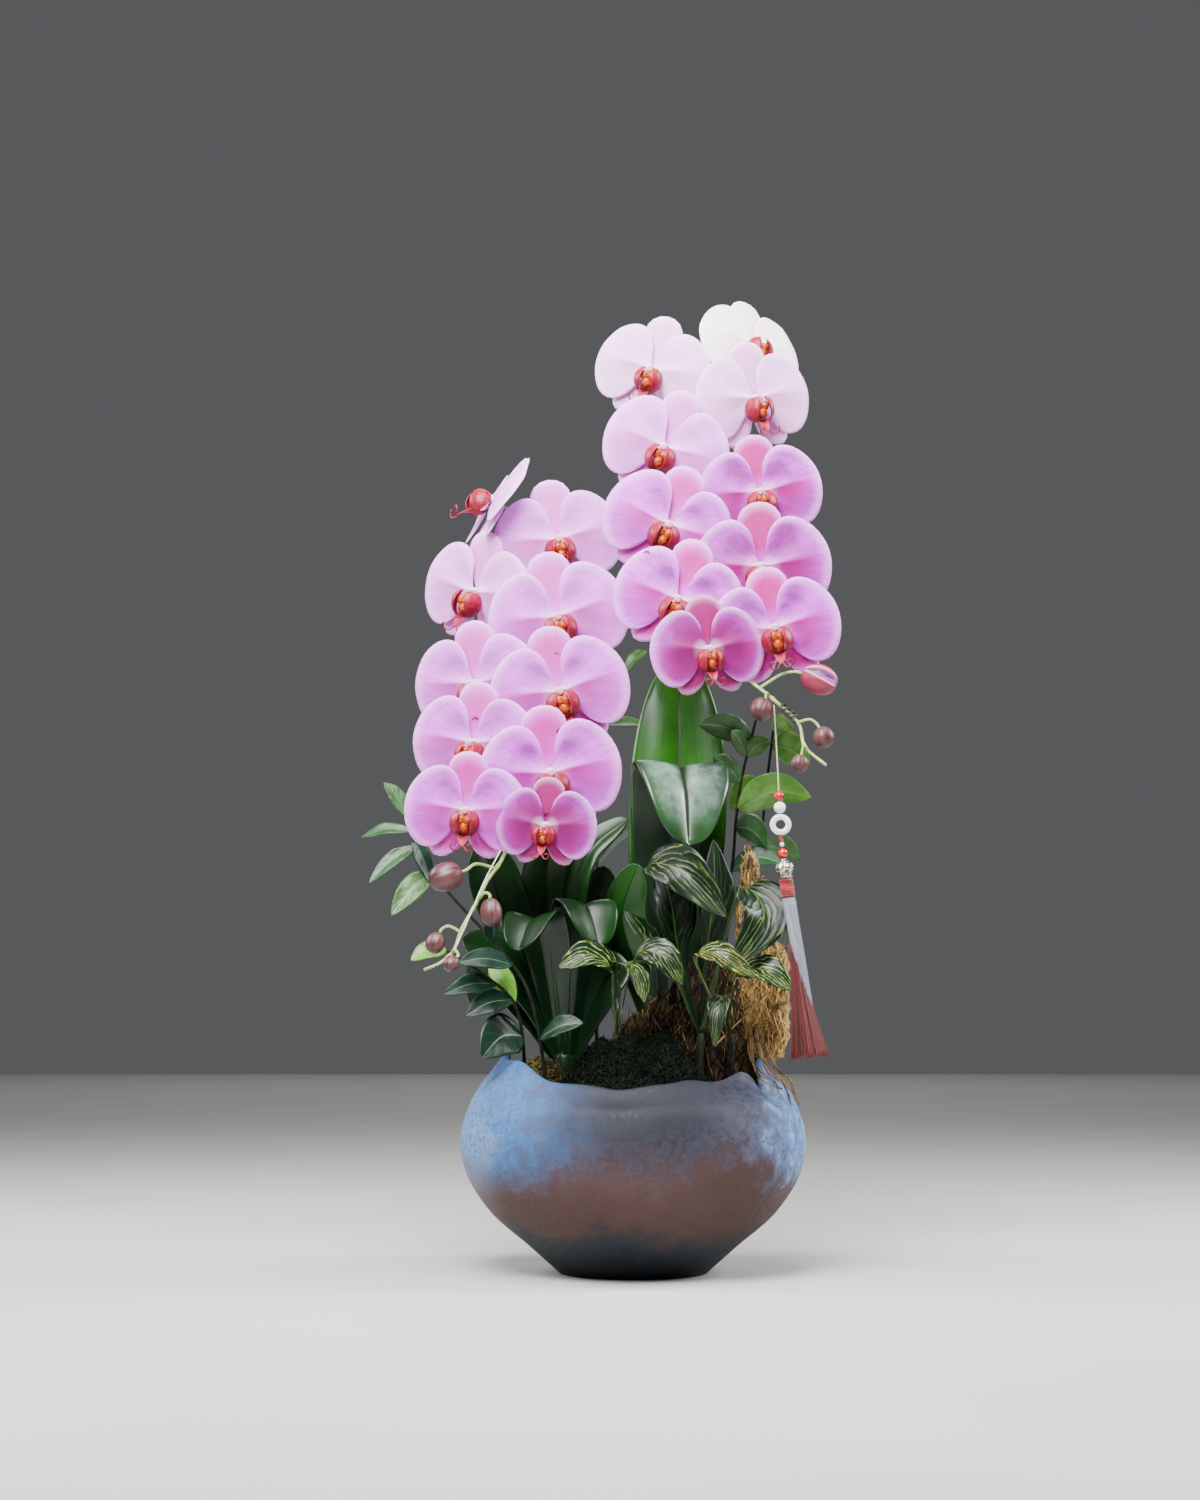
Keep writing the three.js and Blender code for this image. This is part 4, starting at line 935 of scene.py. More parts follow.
def add_tepal(piece, shape, side, slot, tone, columns, rows, ruffle):
    """A petal or sepal: a fan of rays from its claw, each as long as the outline there."""

    def surface(u, v):
        t = 0.975 * math.sin(math.pi / 2 * (2 * u - 1))
        s = 0.03 + 0.97 * v
        power = shape["blunt"][0] if t < 0 else shape["blunt"][1]
        reach = s * shape["length"] * (1 - abs(t) ** power) ** shape["full"]
        angle = math.radians(shape["axis"] + t * shape["spread"])
        x = shape["root"] + reach * math.cos(angle)
        y = reach * math.sin(angle) * (shape.get("lift", 1) if angle > 0 else 1)
        wave = ruffle * s ** 2.5 * wobble(2.6 * angle, 1.7 * s, 19 * tone[1])
        return Vector((side * x, y, shape["depth"](s, t) + wave))

    piece.grid(columns, rows, surface, slot, tone)


def petal_depth(s, t):
    ridge = 3 * math.sin(math.pi * s) * hump(t, -0.05, 0.35)
    crease = 1.3 * math.sin(math.pi * min(1, 1.15 * s)) * hump(t, -0.01, 0.07)
    sweep = s * s * (4 + 5 * (1 - t * t))
    return 2.4 + 3 * s - sweep + ridge + crease - 0.8 * s * abs(t) ** 3


def sepal_depth(s, t):
    return -2.6 - 3 * s * s - 1.2 * s * t * t - 0.8 * hump(t, 0, 0.1) * math.sin(math.pi * s)


PETAL = {
    "axis": 11, "spread": 70, "length": PETAL_LENGTH, "blunt": (5.5, 6), "full": 0.36,
    "lift": 0.86, "root": 1, "depth": petal_depth,
}
TOP_SEPAL = {
    "axis": 90, "spread": 40, "length": 52, "blunt": (2.2, 2.2), "full": 0.5, "root": 0, "depth": sepal_depth,
}
LOW_SEPAL = dict(TOP_SEPAL, axis=-56, spread=33, length=49, blunt=(1.7, 1.7))
SEPALS = [TOP_SEPAL, LOW_SEPAL, dict(LOW_SEPAL, axis=-124)]
# The materials of a bloom by their place in its list, and the kinds of the lip's parts
PETAL_SKIN, SEPAL_SKIN, LIP_SKIN, COLUMN_SKIN = range(4)
LOBE_KIND, CREST_KIND = 0.0, 1.0
LIP_CENTRE = Vector((0, -10.5, 10.5))
LIP_RADIUS = 13.2


def add_lip(piece, rng):
    """Two cupped side lobes, a blade with two curled tips, and three balls of the crest."""
    seed = rng.random()
    for side in (1, -1):

        def lobe(u, v, side=side):
            above = math.radians(-61 + 113 * v)
            half = 12 + 60 * math.sqrt(v) - 26 * v
            around = math.radians(66 + half * (2 * u - 1))
            radius = LIP_RADIUS * (1 + 0.03 * wobble(3 * u, 3 * v, 9 * seed + side))
            flat = radius * math.cos(above)
            point = Vector((flat * math.sin(around), radius * math.sin(above), flat * math.cos(around)))
            point += LIP_CENTRE
            return Vector((side * point.x, point.y, point.z))

        piece.grid(14, 12, lobe, LIP_SKIN, (LOBE_KIND, seed))
    route = Path([(0, -2, 1.5), (0, -14, 2.5), (0, -21.5, 8), (0, -23.5, 16), (0, -31, 23)])

    def blade(u, v):
        across = 1 - 2 * u
        half = 2 + 16 * v if v < 0.3 else 6.8 * math.sqrt(max(0, 1 - ((v - 0.3) / 0.7) ** 2))
        return route.point(v) + Vector((across * half, 0.35 * abs(across) * half, 0))

    piece.grid(8, 18, blade, LIP_SKIN, (LOBE_KIND, seed))
    for x, y, z, size in ((-3, -7.5, 14, 4.4), (3, -8, 14.2, 4.4), (0, -14, 13.5, 5)):
        ball = [(size * math.sin(a), -size * 1.1 * math.cos(a)) for a in (math.pi * k / 7 for k in range(8))]
        piece.turned(ball, 10, Matrix.Translation((x, y, z)), LIP_SKIN, (CREST_KIND, seed + x))
    for side in (1, -1):
        curl = [
            (side * 1.2, -30, 22), (side * 4, -34, 24), (side * 8, -33.5, 26), (side * 9.5, -30, 28),
            (side * 7, -28, 29.5), (side * 5, -30, 29),
        ]
        piece.tube(Path(curl).spaced(16), taper(0.5, 0.28), 5, LIP_SKIN, (LOBE_KIND, seed))


def bloom_piece(bloom, pale, seed):
    """Two petals, three sepals, a lip and a column."""
    rng = random.Random(seed)
    piece = Piece()
    tone = (pale, rng.random())
    for side in (1, -1):
        shape = dict(PETAL, axis=PETAL["axis"] + rng.uniform(-1.5, 1.5))
        add_tepal(piece, shape, side, PETAL_SKIN, (pale, rng.random()), 30, 16, 2.0)
    for sepal in SEPALS:
        add_tepal(piece, sepal, 1, SEPAL_SKIN, (pale, rng.random()), 16, 12, 1.2)
    add_lip(piece, rng)
    column = [
        (0.01, -BLOOM_BACK), (3.8, -4.6), (3.4, 0), (3.0, 5), (3.1, 9), (3.3, 11), (2.6, 13),
        (0.01, 13.8),
    ]
    piece.turned(column, 14, None, COLUMN_SKIN, tone)
    piece.moved(bloom_matrix(bloom))
    return piece


def add_blooms():
    materials = [petal_material(), sepal_material(), lip_material(), column_material()]
    spikes = {"right": (RIGHT_BLOOMS, RIGHT_PAINTED_LIGHT_AND_TINT), "left": (LEFT_BLOOMS, LEFT_PAINTED_LIGHT_AND_TINT)}
    for side, (blooms, light_and_tint) in spikes.items():
        for k, (bloom, pale) in enumerate(zip(blooms, light_and_tint)):
            piece = bloom_piece(bloom, pale, 31 * k + len(side))
            obj = piece.build(f"flower_{side}_{k + 1}", materials, thickness=PETAL_THICKNESS)
            settle(obj, "petal", f"bloom_{side}_{k + 1}")


# Spikes and buds

RIGHT_STEM = [
    (52, 38, 112), (52, 38, 142), (52, 38, 172), (54, 54, 260), (60, 82, 420), (66, 98, 580), (69, 100, 690),
    (70, 84, 752), (70, 58, 752), (70, 38, 700), (70, 24, 645), (71, 6, 585), (73, -14, 535),
    (81, -34, 496), (95, -57, 477), (113, -74, 458.5), (132, -82, 438), (136, -88, 419), (152, -96, 403),
]
LEFT_STEM = [
    (-42, 34, 112), (-42, 34, 142), (-42, 34, 172), (-48, 52, 260), (-66, 78, 400), (-86, 90, 510),
    (-97, 86, 592), (-99, 66, 622), (-99, 46, 604), (-98, 28, 550), (-98, 6, 484), (-98, -16, 430),
    (-98, -32, 388), (-99, -47, 355), (-106, -72, 329), (-116, -88, 312), (-123, -95, 296),
    (-135.5, -104, 272), (-141, -109, 256), (-150, -114, 247), (-163, -118, 241),
]
RIGHT_BUDS = [
    ((149, -80, 474), (104, -66, 470), (0.85, -0.2, -0.35), 30, 12.5),
    ((102, -86, 449), (110, -72, 462), (-0.3, -0.5, -0.75), 19, 9.5),
    ((151, -90, 426), (132, -82, 438), (0.35, -0.3, -0.85), 17, 8.5),
    ((131, -99, 404), (136, -89, 418), (-0.2, -0.4, -0.85), 14, 7),
]
LEFT_BUDS = [
    ((-148, -102, 314), (-110, -81, 322), (-0.85, -0.2, -0.3), 27, 11.5),
    ((-112, -106, 286), (-122, -95, 298), (0.1, -0.2, -0.95), 22, 8.5),
    ((-155, -110, 262), (-136, -104, 272), (-0.35, -0.2, -0.85), 17, 7.5),
    ((-142, -121, 246), (-142, -110, 254), (-0.5, -0.6, -0.6), 14, 6),
]


SPIKE_JOINTS = 22
# A spike is a line of this many steps, and its flowers hang on the part from this step on.
SPIKE_STEPS = 260
ARCH_STEP = 104


def stem_width(share):
    """A spike thins towards its tip and swells a little at its joints."""
    joint = hump((share * SPIKE_JOINTS) % 1, 0.5, 0.06)
    thinning = 1 if share < 0.6 else 1 - 0.45 * (share - 0.6) / 0.4
    return SPIKE_RADIUS * (0.9 * thinning + 0.28 * joint)


def pedicel_width(share):
    """A pedicel swells where it meets its flower."""
    return PEDICEL_RADIUS * (1.15 - 0.15 * share + 0.5 * max(0, share - 0.85))


def spike_piece(route, blooms, buds):
    """A stem with a stalk to each of its blooms and buds."""
    line = Path(route).spaced(SPIKE_STEPS)
    falling = line[ARCH_STEP:]
    piece = Piece()
    piece.tube(line, stem_width, 10)

    def nearest(point):
        return min(falling, key=lambda other: (other - point).length)

    def stalk(points):
        piece.tube(Path(points).spaced(18), pedicel_width, 7)

    for bloom in blooms:
        matrix = bloom_matrix(bloom)
        back = matrix @ Vector((0, 0, -BLOOM_BACK))
        outwards = (matrix.to_3x3() @ Vector((0, 0, -1))).normalized()
        bend = back + outwards * PEDICEL_RUN
        start = nearest(bend)
        half = bend.lerp(start, 0.5) + UP * 3
        stalk([start, half, bend, back + outwards * CLEARANCE])
    for at, origin, axis, length, _ in buds:
        axis = Vector(axis).normalized()
        start = nearest(Vector(origin))
        end = Vector(at) - axis * (length / 2 + CLEARANCE)
        bend = start.lerp(end, 0.6) + UP * 5
        stalk([start, bend, end - axis * 3, end])
    return piece


def bud_piece(bud, seed, ripe):
    """An egg-shaped bud of three sepals that meet at seams; in a ripe one the front seam gapes."""
    at, _, axis, length, radius = bud
    turn = turn_to(Vector(axis))
    matrix = Matrix.Translation(at) @ turn
    piece = Piece()
    front = turn.to_3x3().inverted() @ BUD_FRONT
    front_angle = math.atan2(front.y, front.x)

    def surface(u, v):
        angle = math.pi * v
        around = front_angle + 2 * math.pi * (u - FRONT_SEAM)
        seam = 1 - 0.07 * (1 - abs(math.sin(3 * math.pi * u))) ** 4
        inside = smoothstep(0, 0.025, GAPE_FOOT + GAPE_GROWTH * v - abs(u - FRONT_SEAM))
        seam *= 1 - 0.3 * ripe * inside * smoothstep(0.08, 0.4, v)
        width = max(radius * math.sin(angle) ** 0.85 * seam, 0.02) * (1 + 0.02 * wobble(2 * u, 3 * v, seed))
        return matrix @ ring_point(width, around, -length / 2 * math.cos(angle))

    columns, rows = (120, 40) if ripe else (36, 20)
    piece.grid(columns, rows, surface, 0, (ripe, seed % 1))
    return piece


def add_spikes():
    """The two stems; the first bud of the right one is ripe."""
    stem, bud = stem_material(), bud_material()
    spikes = {"right": (RIGHT_STEM, RIGHT_BLOOMS, RIGHT_BUDS), "left": (LEFT_STEM, LEFT_BLOOMS, LEFT_BUDS)}
    for side, (route, blooms, buds) in spikes.items():
        piece = spike_piece(route, blooms, buds)
        settle(piece.build(f"stem_{side}", [stem]), "stem", f"spike_{side}")
        for k, entry in enumerate(buds):
            ripe = 1.0 if side == "right" and k == 0 else 0.0
            made = bud_piece(entry, 0.37 * k + len(side), ripe)
            settle(made.build(f"closed_bud_{side}_{k + 1}", [bud]), "bud_skin", f"bud_{side}_{k + 1}")


# Leaves


def strap_outline(v):
    """A blade that is widest past its middle, with a round tip."""
    if v < 0.62:
        return 0.16 + 0.84 * math.sin(math.pi / 2 * (v / 0.62))
    return math.sqrt(max(0, 1 - ((v - 0.62) / 0.38) ** 2))


def oval_outline(v):
    """A blade that is pointed at both ends."""
    return max(0.1 * (1 - v), math.sin(math.pi * min(1, v) ** 0.85) ** 0.8 if 0 < v < 1 else 0)


def stalked_outline(v):
    """A thin petiole, then an oval blade."""
    if v < PETIOLE_SHARE:
        return 0.12
    return max(0.12 * (1 - v), oval_outline((v - PETIOLE_SHARE) / (1 - PETIOLE_SHARE)))


def add_leaf(piece, route, half_width, roll, fold, outline, tone, columns, rows, wave, bulge=0.0, slot=0):
    """A blade along its midrib's route, folded a little along the midrib, its halves bulging."""
    curve = Path(route)
    level = UP.cross(curve.point(1) - curve.point(0))
    level = level.normalized() if level.length > 0.5 else Vector((1, 0, 0))
    turn = math.radians(roll)

    def surface(u, v):
        tangent = curve.tangent(v)
        across = (level - tangent * level.dot(tangent)).normalized()
        across.rotate(Matrix.Rotation(turn, 3, tangent))
        raised = tangent.cross(across)
        offset = (1 - 2 * u) * half_width * outline(v)
        rise = fold * (math.sqrt(offset * offset + 1.5) - 1.2)
        rise += bulge * outline(v) * math.sin(math.pi * abs(1 - 2 * u)) ** 0.7
        ripple = wave * (offset / half_width) ** 2 * wobble(5 * v + tone[1] * 9, 3 * u, tone[1] * 7)
        return curve.point(v) + across * offset + raised * (rise + ripple)

    piece.grid(columns, rows, surface, slot, tone)


# Leaves of each rosette as (route, half width, roll, fold, lit).
RIGHT_ROSETTE = [
    ([(35, 19, 168), (36, 39, 280), (41, 52, 400), (42, 60, 516)], 42, 0, 0.16, 0.9),
    (
        [(28, 10, 172), (30, 24, 290), (34, 22, 372), (40, 0, 412), (43, -22, 392), (45, -38, 344)],
        41, 0, 0.08, 0.25,
    ),
    ([(25, 20, 168), (22, 66, 256), (20, 104, 290), (16, 152, 252)], 26, 0, 0.2, 0.3),
    ([(24, 12, 170), (6, 8, 236), (-8, -4, 290), (4, -20, 330)], 20, 0, 0.2, 0.3),
]
LEFT_ROSETTE = [
    ([(-60, 0, 168), (-70, -16, 240), (-80, -32, 284), (-92, -58, 258)], 24, 0, 0.25, 0.1),
    ([(-52, -2, 168), (-46, -12, 244), (-40, -24, 296), (-28, -46, 262)], 27, 0, 0.2, 0.1),
    ([(-61, 5, 170), (-92, 12, 250), (-114, 10, 312), (-126, 6, 352)], 25, -60, 0.2, 0.2),
    ([(-52, 9, 172), (-50, 18, 260), (-36, 14, 340), (-4, -6, 368)], 17, 55, 0.2, 0.3),
    ([(-59, 10, 168), (-86, 62, 240), (-110, 112, 258), (-134, 156, 212)], 30, 0, 0.2, 0.25),
    ([(-62, 2, 170), (-86, -2, 222), (-112, -10, 256), (-140, -22, 268)], 19, -60, 0.2, 0.1),
    ([(-50, 8, 170), (-40, 22, 232), (-30, 30, 290), (-24, 28, 332)], 18, 60, 0.2, 0.1),
    ([(-60, 9, 170), (-68, 28, 250), (-72, 34, 320), (-64, 24, 368)], 24, 0, 0.2, 0.15),
    ([(-48, 2, 170), (-34, -2, 212), (-20, -6, 238), (-3, -8, 248)], 24, 60, 0.2, 0.05),
    ([(-63, 4, 170), (-80, 8, 206), (-98, 8, 232), (-118, 4, 246)], 22, -60, 0.2, 0.05),
]


def add_rosettes():
    """Two rosettes; one bent leaf of the right one has a painted sheen."""
    leaf, bright = orchid_leaf_material(), orchid_leaf_material("orchid_leaf_bright", 1.0, 0.3, 0.4)
    crowns = {"right": ((30, 14), RIGHT_ROSETTE), "left": ((-56, 4), LEFT_ROSETTE)}
    top = SOIL_TOP_HEIGHT + STUB_HEIGHT
    stub = [(0.01, PLANTED_FOOT), (9, PLANTED_FOOT), (9, top - 8), (6, top), (0.01, top)]
    for side, ((x, y), leaves) in crowns.items():
        piece = Piece()
        piece.turned(stub, 16, Matrix.Translation((x, y, 0)), 0, (0.0, 0.1))
        for k, (route, half_width, roll, fold, lit) in enumerate(leaves):
            slot = 1 if side == "right" and k == 1 else 0
            tone = (lit, 0.17 * k)
            bulge = 0.07 * half_width
            add_leaf(piece, route, half_width, roll, fold, strap_outline, tone, 24, 56, 2.5, bulge, slot)
        made = piece.build(f"rosette_{side}", [leaf, bright], thickness=ORCHID_LEAF_THICKNESS)
        settle(made, "orchid_leaf", f"leaves_orchid_{side}")


# The second material of a branch or tuft is that of its stalk.
STALK_SKIN = 1

# Leafy branches: foot, route of the stem, and leaves as (share along, tip, half width, sag, roll, lit)

BRANCHES = {
    "branch_left_outer": (
        (-72, -44),
        [
            (-85, -56, 227), (-107, -54, 259), (-144, -45, 299), (-165, -38, 324), (-178, -32, 345),
            (-185, -28, 368),
        ],
        [
            (1, (-205, -26, 397), 7.5, 4, -50, 0.15), (0.94, (-222, -34, 351), 6.5, 4, -50, 0.1),
            (0.87, (-214, -46, 313), 7, 4, -55, 0.1), (0.9, (-162, -46, 310), 7, 4, 60, 0.0),
            (0.74, (-195, -54, 286), 10.5, 4, -60, 0.25), (0.66, (-141, -36, 322), 7, 4, 60, 0.0),
            (0.52, (-112, -76, 288), 11, 4, 55, -0.3), (0.45, (-140, -72, 248), 10, 4, -60, -0.2),
            (0.3, (-40, -84, 200), 10, 4, 60, -0.5),
        ],
    ),
    "branch_left_inner": (
        (-88, -26),
        [(-96, -40, 216), (-122, -50, 240), (-150, -56, 258)],
        [
            (1, (-178, -64, 250), 9, 4, -50, 0.75), (0.72, (-151, -66, 223), 9.5, 4, -60, -0.2),
            (0.62, (-134, -58, 206), 10.5, 4, -60, -0.3), (0.5, (-121, -64, 173), 19, 8, -60, -0.6),
            (0.6, (-118, -26, 252), 9, 4, -60, 1.0),
        ],
    ),
    "branch_right_outer": (
        (78, 30),
        [(81, 30, 304), (86, 32, 342), (88, 34, 367), (92, 36, 398), (99, 38, 430), (108, 40, 463)],
        [
            (0.92, (56, 20, 452), 12, 4, 60, 0.15), (0.86, (84, 18, 446), 7, 4, 60, 0.2),
            (0.86, (118, 26, 438), 8, 4, -60, 0.3), (0.77, (68, 15, 424), 9, 4, 70, 0.15),
            (0.68, (152, 30, 391), 18, 10, -50, 0.6), (0.62, (114, 26, 348), 14, 6, -60, 0.1),
            (0.45, (127, 24, 334), 12, 8, 50, 0.05),
        ],
    ),
    "branch_right_back": (
        (78, 46),
        [(100, 60, 260), (110, 60, 340), (116, 58, 400), (122, 50, 450)],
        [
            (0.96, (152, 40, 420), 16, 4, -60, 0.5), (0.84, (86, 68, 384), 16, 4, 60, 0.8),
            (1, (136, 20, 452), 9, 4, -50, 0.6), (0.7, (146, 76, 340), 14, 4, -30, 0.2),
            (0.56, (96, 96, 300), 13, 4, 20, 0.1),
        ],
    ),
    "branch_middle_back": (
        (-8, 66),
        [(-30, 80, 300), (-36, 84, 400), (-22, 70, 470), (-8, 50, 498)],
        [
            (1, (14, 40, 518), 10, 4, 50, 0.3), (0.8, (26, 92, 456), 10, 4, 30, 0.2),
            (0.68, (-64, 110, 412), 11, 4, 30, 0.2), (0.55, (12, 112, 376), 12, 4, -30, 0.1),
            (0.45, (-62, 112, 340), 13, 4, 30, 0.1),
        ],
    ),
}


def add_branches():
    """Thin stems with leaves that bend a little on the way to their tips."""
    leaf, twig = branch_leaf_material(), twig_material()
    for name, ((x, y), route, leaves) in BRANCHES.items():
        foot = [(x, y, PLANTED_FOOT), (x, y, SOIL_TOP_HEIGHT - 18), (x, y, SOIL_TOP_HEIGHT + 6)]
        stem = Path(foot + route)
        piece = Piece()
        piece.tube(stem.spaced(90), lambda share: BRANCH_RADIUS * (1.05 - 0.35 * share), 8, STALK_SKIN)
        for k, (along, tip, half_width, sag, roll, lit) in enumerate(leaves):
            start, end = stem.point(along), Vector(tip)
            middle = start.lerp(end, 0.5) + UP * sag
            tone = (lit, (0.31 * k) % 1)
            add_leaf(piece, [start, middle, end], half_width, roll, 0.2, oval_outline, tone, 10, 22, 1.5)
        made = piece.build(f"{name}_leaves", [leaf, twig], thickness=BRANCH_LEAF_THICKNESS)
        settle(made, "branch_leaf", name)


# Striped tufts: foot, and leaves as (route after the stalk, half width, roll, lit)

TUFTS = {
    "striped_leaves_low": (
        (-14, -44),
        [
            ([(-14, -58, 240), (-36, -68, 254), (-60, -72, 244)], 13, -55, 0.6),
            ([(-14, -62, 244), (0, -76, 244), (8, -84, 216)], 13, 0, 0.6),
            ([(5, -74, 256), (22, -81, 253), (38, -84, 230)], 13, 45, 0.3),
        ],
    ),
    "striped_leaves_tall": (
        (54, -34),
        [
            ([(12, -40, 326), (38, -58, 322), (74, -68, 284)], 20, 45, 0.15),
            ([(60, -32, 262), (66, -28, 305), (66, -28, 350)], 19, 104, 0.0),
            ([(90, -46, 308), (104, -64, 288), (78, -80, 246)], 22, 10, 0.15),
            ([(26, -46, 250), (8, -51, 270), (-8, -54, 290)], 15, -50, 0.1),
            ([(36, -34, 262), (30, -38, 300), (20, -44, 334)], 20, -75, 0.0),
        ],
    ),
    "striped_leaves_front": (
        (78, -40),
        [
            ([(50, -68, 254), (68, -80, 254), (96, -84, 236)], 11, 35, 1.0),
            ([(84, -56, 240), (104, -68, 242), (126, -72, 226)], 14, 45, 0.75),
            ([(70, -64, 222), (67, -78, 212), (62, -84, 182)], 9, 0, 0.15),
        ],
    ),
}


def add_striped_tufts():
    """Short stalks with broad striped leaves that start at their tops."""
    leaf, twig = striped_leaf_material(), twig_material()
    top = SOIL_TOP_HEIGHT + STALK_HEIGHT
    for name, ((x, y), leaves) in TUFTS.items():
        piece = Piece()
        piece.tube(upright(x, y, top, 10), STALK_RADIUS, 10, STALK_SKIN)
        for k, (route, half_width, roll, lit) in enumerate(leaves):
            route = [(x, y, top - 3), *route]
            add_leaf(piece, route, half_width, roll, 0.3, stalked_outline, (lit, 0.23 * k), 14, 44, 3.0)
        made = piece.build(f"{name}_blades", [leaf, twig], thickness=STRIPED_LEAF_THICKNESS)
        settle(made, "striped_leaf", name)


# Fill of the pot

# Height of the medium, as (radius, height)
SOIL_PROFILE = [
    (0, SOIL_TOP_HEIGHT + 1), (30, SOIL_TOP_HEIGHT), (66, 151), (96, 138), (114, SOIL_EDGE_HEIGHT + 4),
]
CHIP_REACH = 108
MOSS_LEFT = math.radians(-50)
MOSS_RIGHT = math.radians(52)
MOSS_OUTER = 100
MOSS_DEPTH = 66
MOSS_SLOPE = 62
MOSS_EDGE_HEIGHT = 150
MOSS_RISE = 40
SPHAGNUM_CENTRE = Vector((-76, -24, 153))
SPHAGNUM_SIZE = (15, 14, 17)
SPHAGNUM_REACH = 21
SPHAGNUM_STEPS = 7


def soil_height(radius):
    """The top of the medium, highest in the middle."""
    for (r0, z0), (r1, z1) in zip(SOIL_PROFILE, SOIL_PROFILE[1:]):
        if radius <= r1:
            return z0 + (z1 - z0) * (radius - r0) / (r1 - r0)
    return SOIL_PROFILE[-1][1]


def add_medium(rng):
    """The bark's surface, with loose chips on it."""
    piece = Piece()

    def surface(u, v):
        radius = 0.1 + 114.4 * v
        lumps = 1.6 * wobble(radius / 9, 14 * math.sin(2 * math.pi * u), 14 * math.cos(2 * math.pi * u))
        return waved(radius, soil_height(radius) + lumps * (1 - v), 2 * math.pi * u)

    piece.grid(120, 34, surface)
    signs = [(a, b, c) for c in (-1, 1) for b in (-1, 1) for a in (-1, 1)]
    faces = [(0, 2, 3, 1), (4, 5, 7, 6), (0, 1, 5, 4), (2, 6, 7, 3), (0, 4, 6, 2), (1, 3, 7, 5)]
    for _ in range(BARK_CHIPS):
        radius, around = CHIP_REACH * math.sqrt(rng.random()), 2 * math.pi * rng.random()
        centre = waved(radius, soil_height(radius) + 0.8, around)
        size = [rng.uniform(2, 5), rng.uniform(1.5, 3.5), rng.uniform(0.7, 1.6)]
        turn = Matrix.Rotation(6.3 * rng.random(), 4, "Z") @ Matrix.Rotation(rng.uniform(-0.5, 0.5), 4, "X")
        corners = []
        for sx, sy, sz in signs:
            x = sx * size[0] * rng.uniform(0.7, 1)
            y = sy * size[1] * rng.uniform(0.7, 1)
            corners.append(centre + turn @ Vector((x, y, sz * size[2])))
        piece.add(corners, faces, [(0.5, 0.5)] * 8)
    settle(piece.build("bark_fill", [bark_material()], smooth=False), "bark_medium", "growing_medium")


def moss_top(radius, angle):
    """The mound climbs from the rim to the middle, with lumps."""
    climb = smoothstep(0, 1, (MOSS_OUTER - radius) / MOSS_SLOPE)
    lumps = 2.4 * math.sin(radius / 7 + 3 * angle) + 2 * math.sin(9 * angle + radius / 19)
    return MOSS_EDGE_HEIGHT + MOSS_RISE * climb + lumps * (0.3 + 0.7 * climb)


def add_moss(rng):
    """A mound with thousands of short fronds."""
    piece = Piece()

    def place(u, v):
        angle, radius = MOSS_LEFT + (MOSS_RIGHT - MOSS_LEFT) * u, MOSS_OUTER - MOSS_DEPTH * v
        flat = Vector((radius * math.sin(angle), -radius * math.cos(angle), 0))
        edge = min(1, 10 * min(u, 1 - u), 12 * (1 - v))
        floor = soil_height(radius)
        lumps = 2.2 * wobble(flat.x / 7, flat.y / 7)
        top = floor + (moss_top(radius, angle) + lumps - floor) * edge ** 0.5
        return flat + UP * (top - 1.5)

    piece.grid(70, 36, place, 0, (0.1, 0.5))
    places = [(0, 0), (1, 0), (1, 0.6), (0, 0.6), (0.5, 1)]
    for _ in range(MOSS_FRONDS):
        u, v = rng.random(), rng.random() ** 1.2
        root = place(u, v)
        lean = Vector((rng.uniform(-1, 1), rng.uniform(-1.2, 0.5), rng.uniform(0.5, 1.4))).normalized()
        flat = Vector((rng.uniform(-1, 1), rng.uniform(-1, 1), 0.2))
        side = lean.cross(flat).normalized() * rng.uniform(0.3, 0.6)
        length = rng.uniform(2.0, 4.8)
        bend = root + lean * length * 0.6
        tip = root + lean * length + Vector((0, 0, -0.8))
        corners = [root - side, root + side, bend + side * 0.8, bend - side * 0.8, tip]
        tone = (rng.random() ** 2, rng.random())
        piece.add(corners, [(0, 1, 2, 3), (3, 2, 4)], places, 0, tone)
    settle(piece.build("moss_cushion", [moss_material()]), "moss", "moss_mound")


def add_sphagnum(rng):
    """A loose tuft of curly strands over a small lump."""
    piece = Piece()

    def ball(a, b, wide=1, deep=1, tall=1):
        flat = math.sin(b)
        return Vector((wide * flat * math.cos(a), deep * flat * math.sin(a), tall * math.cos(b)))

    def lump(u, v):
        a, b = 2 * math.pi * u, math.pi * v
        grow = 0.9 + 0.12 * wobble(3 * math.cos(a), 3 * math.sin(a), 4 * v)
        return SPHAGNUM_CENTRE + ball(a, b, *SPHAGNUM_SIZE) * grow

    piece.grid(24, 14, lump, 0, (0.1, 0.5))
    for _ in range(SPHAGNUM_STRANDS):
        out = ball(rng.uniform(0, 2 * math.pi), math.acos(rng.uniform(-0.2, 1)))
        start = SPHAGNUM_CENTRE + Vector([a * b for a, b in zip(out, SPHAGNUM_SIZE)]) * 0.85
        line, point, ahead = [], start, out
        for _ in range(SPHAGNUM_STEPS):
            line.append(point)
            ahead = (ahead + loose(rng, 0.8)).normalized()
            point = point + ahead * rng.uniform(1.4, 2.8)
            offset = point - SPHAGNUM_CENTRE
            if offset.length > SPHAGNUM_REACH:
                point = SPHAGNUM_CENTRE + offset.normalized() * SPHAGNUM_REACH
        piece.tube(line, taper(0.5, 0.3), 4, 0, (rng.random(), rng.random()))
    fibre = fibre_material("sphagnum", "1c160a", "84723a", "3c3a1a")
    settle(piece.build("sphagnum_strands", [fibre]), "sphagnum", "sphagnum_tuft")


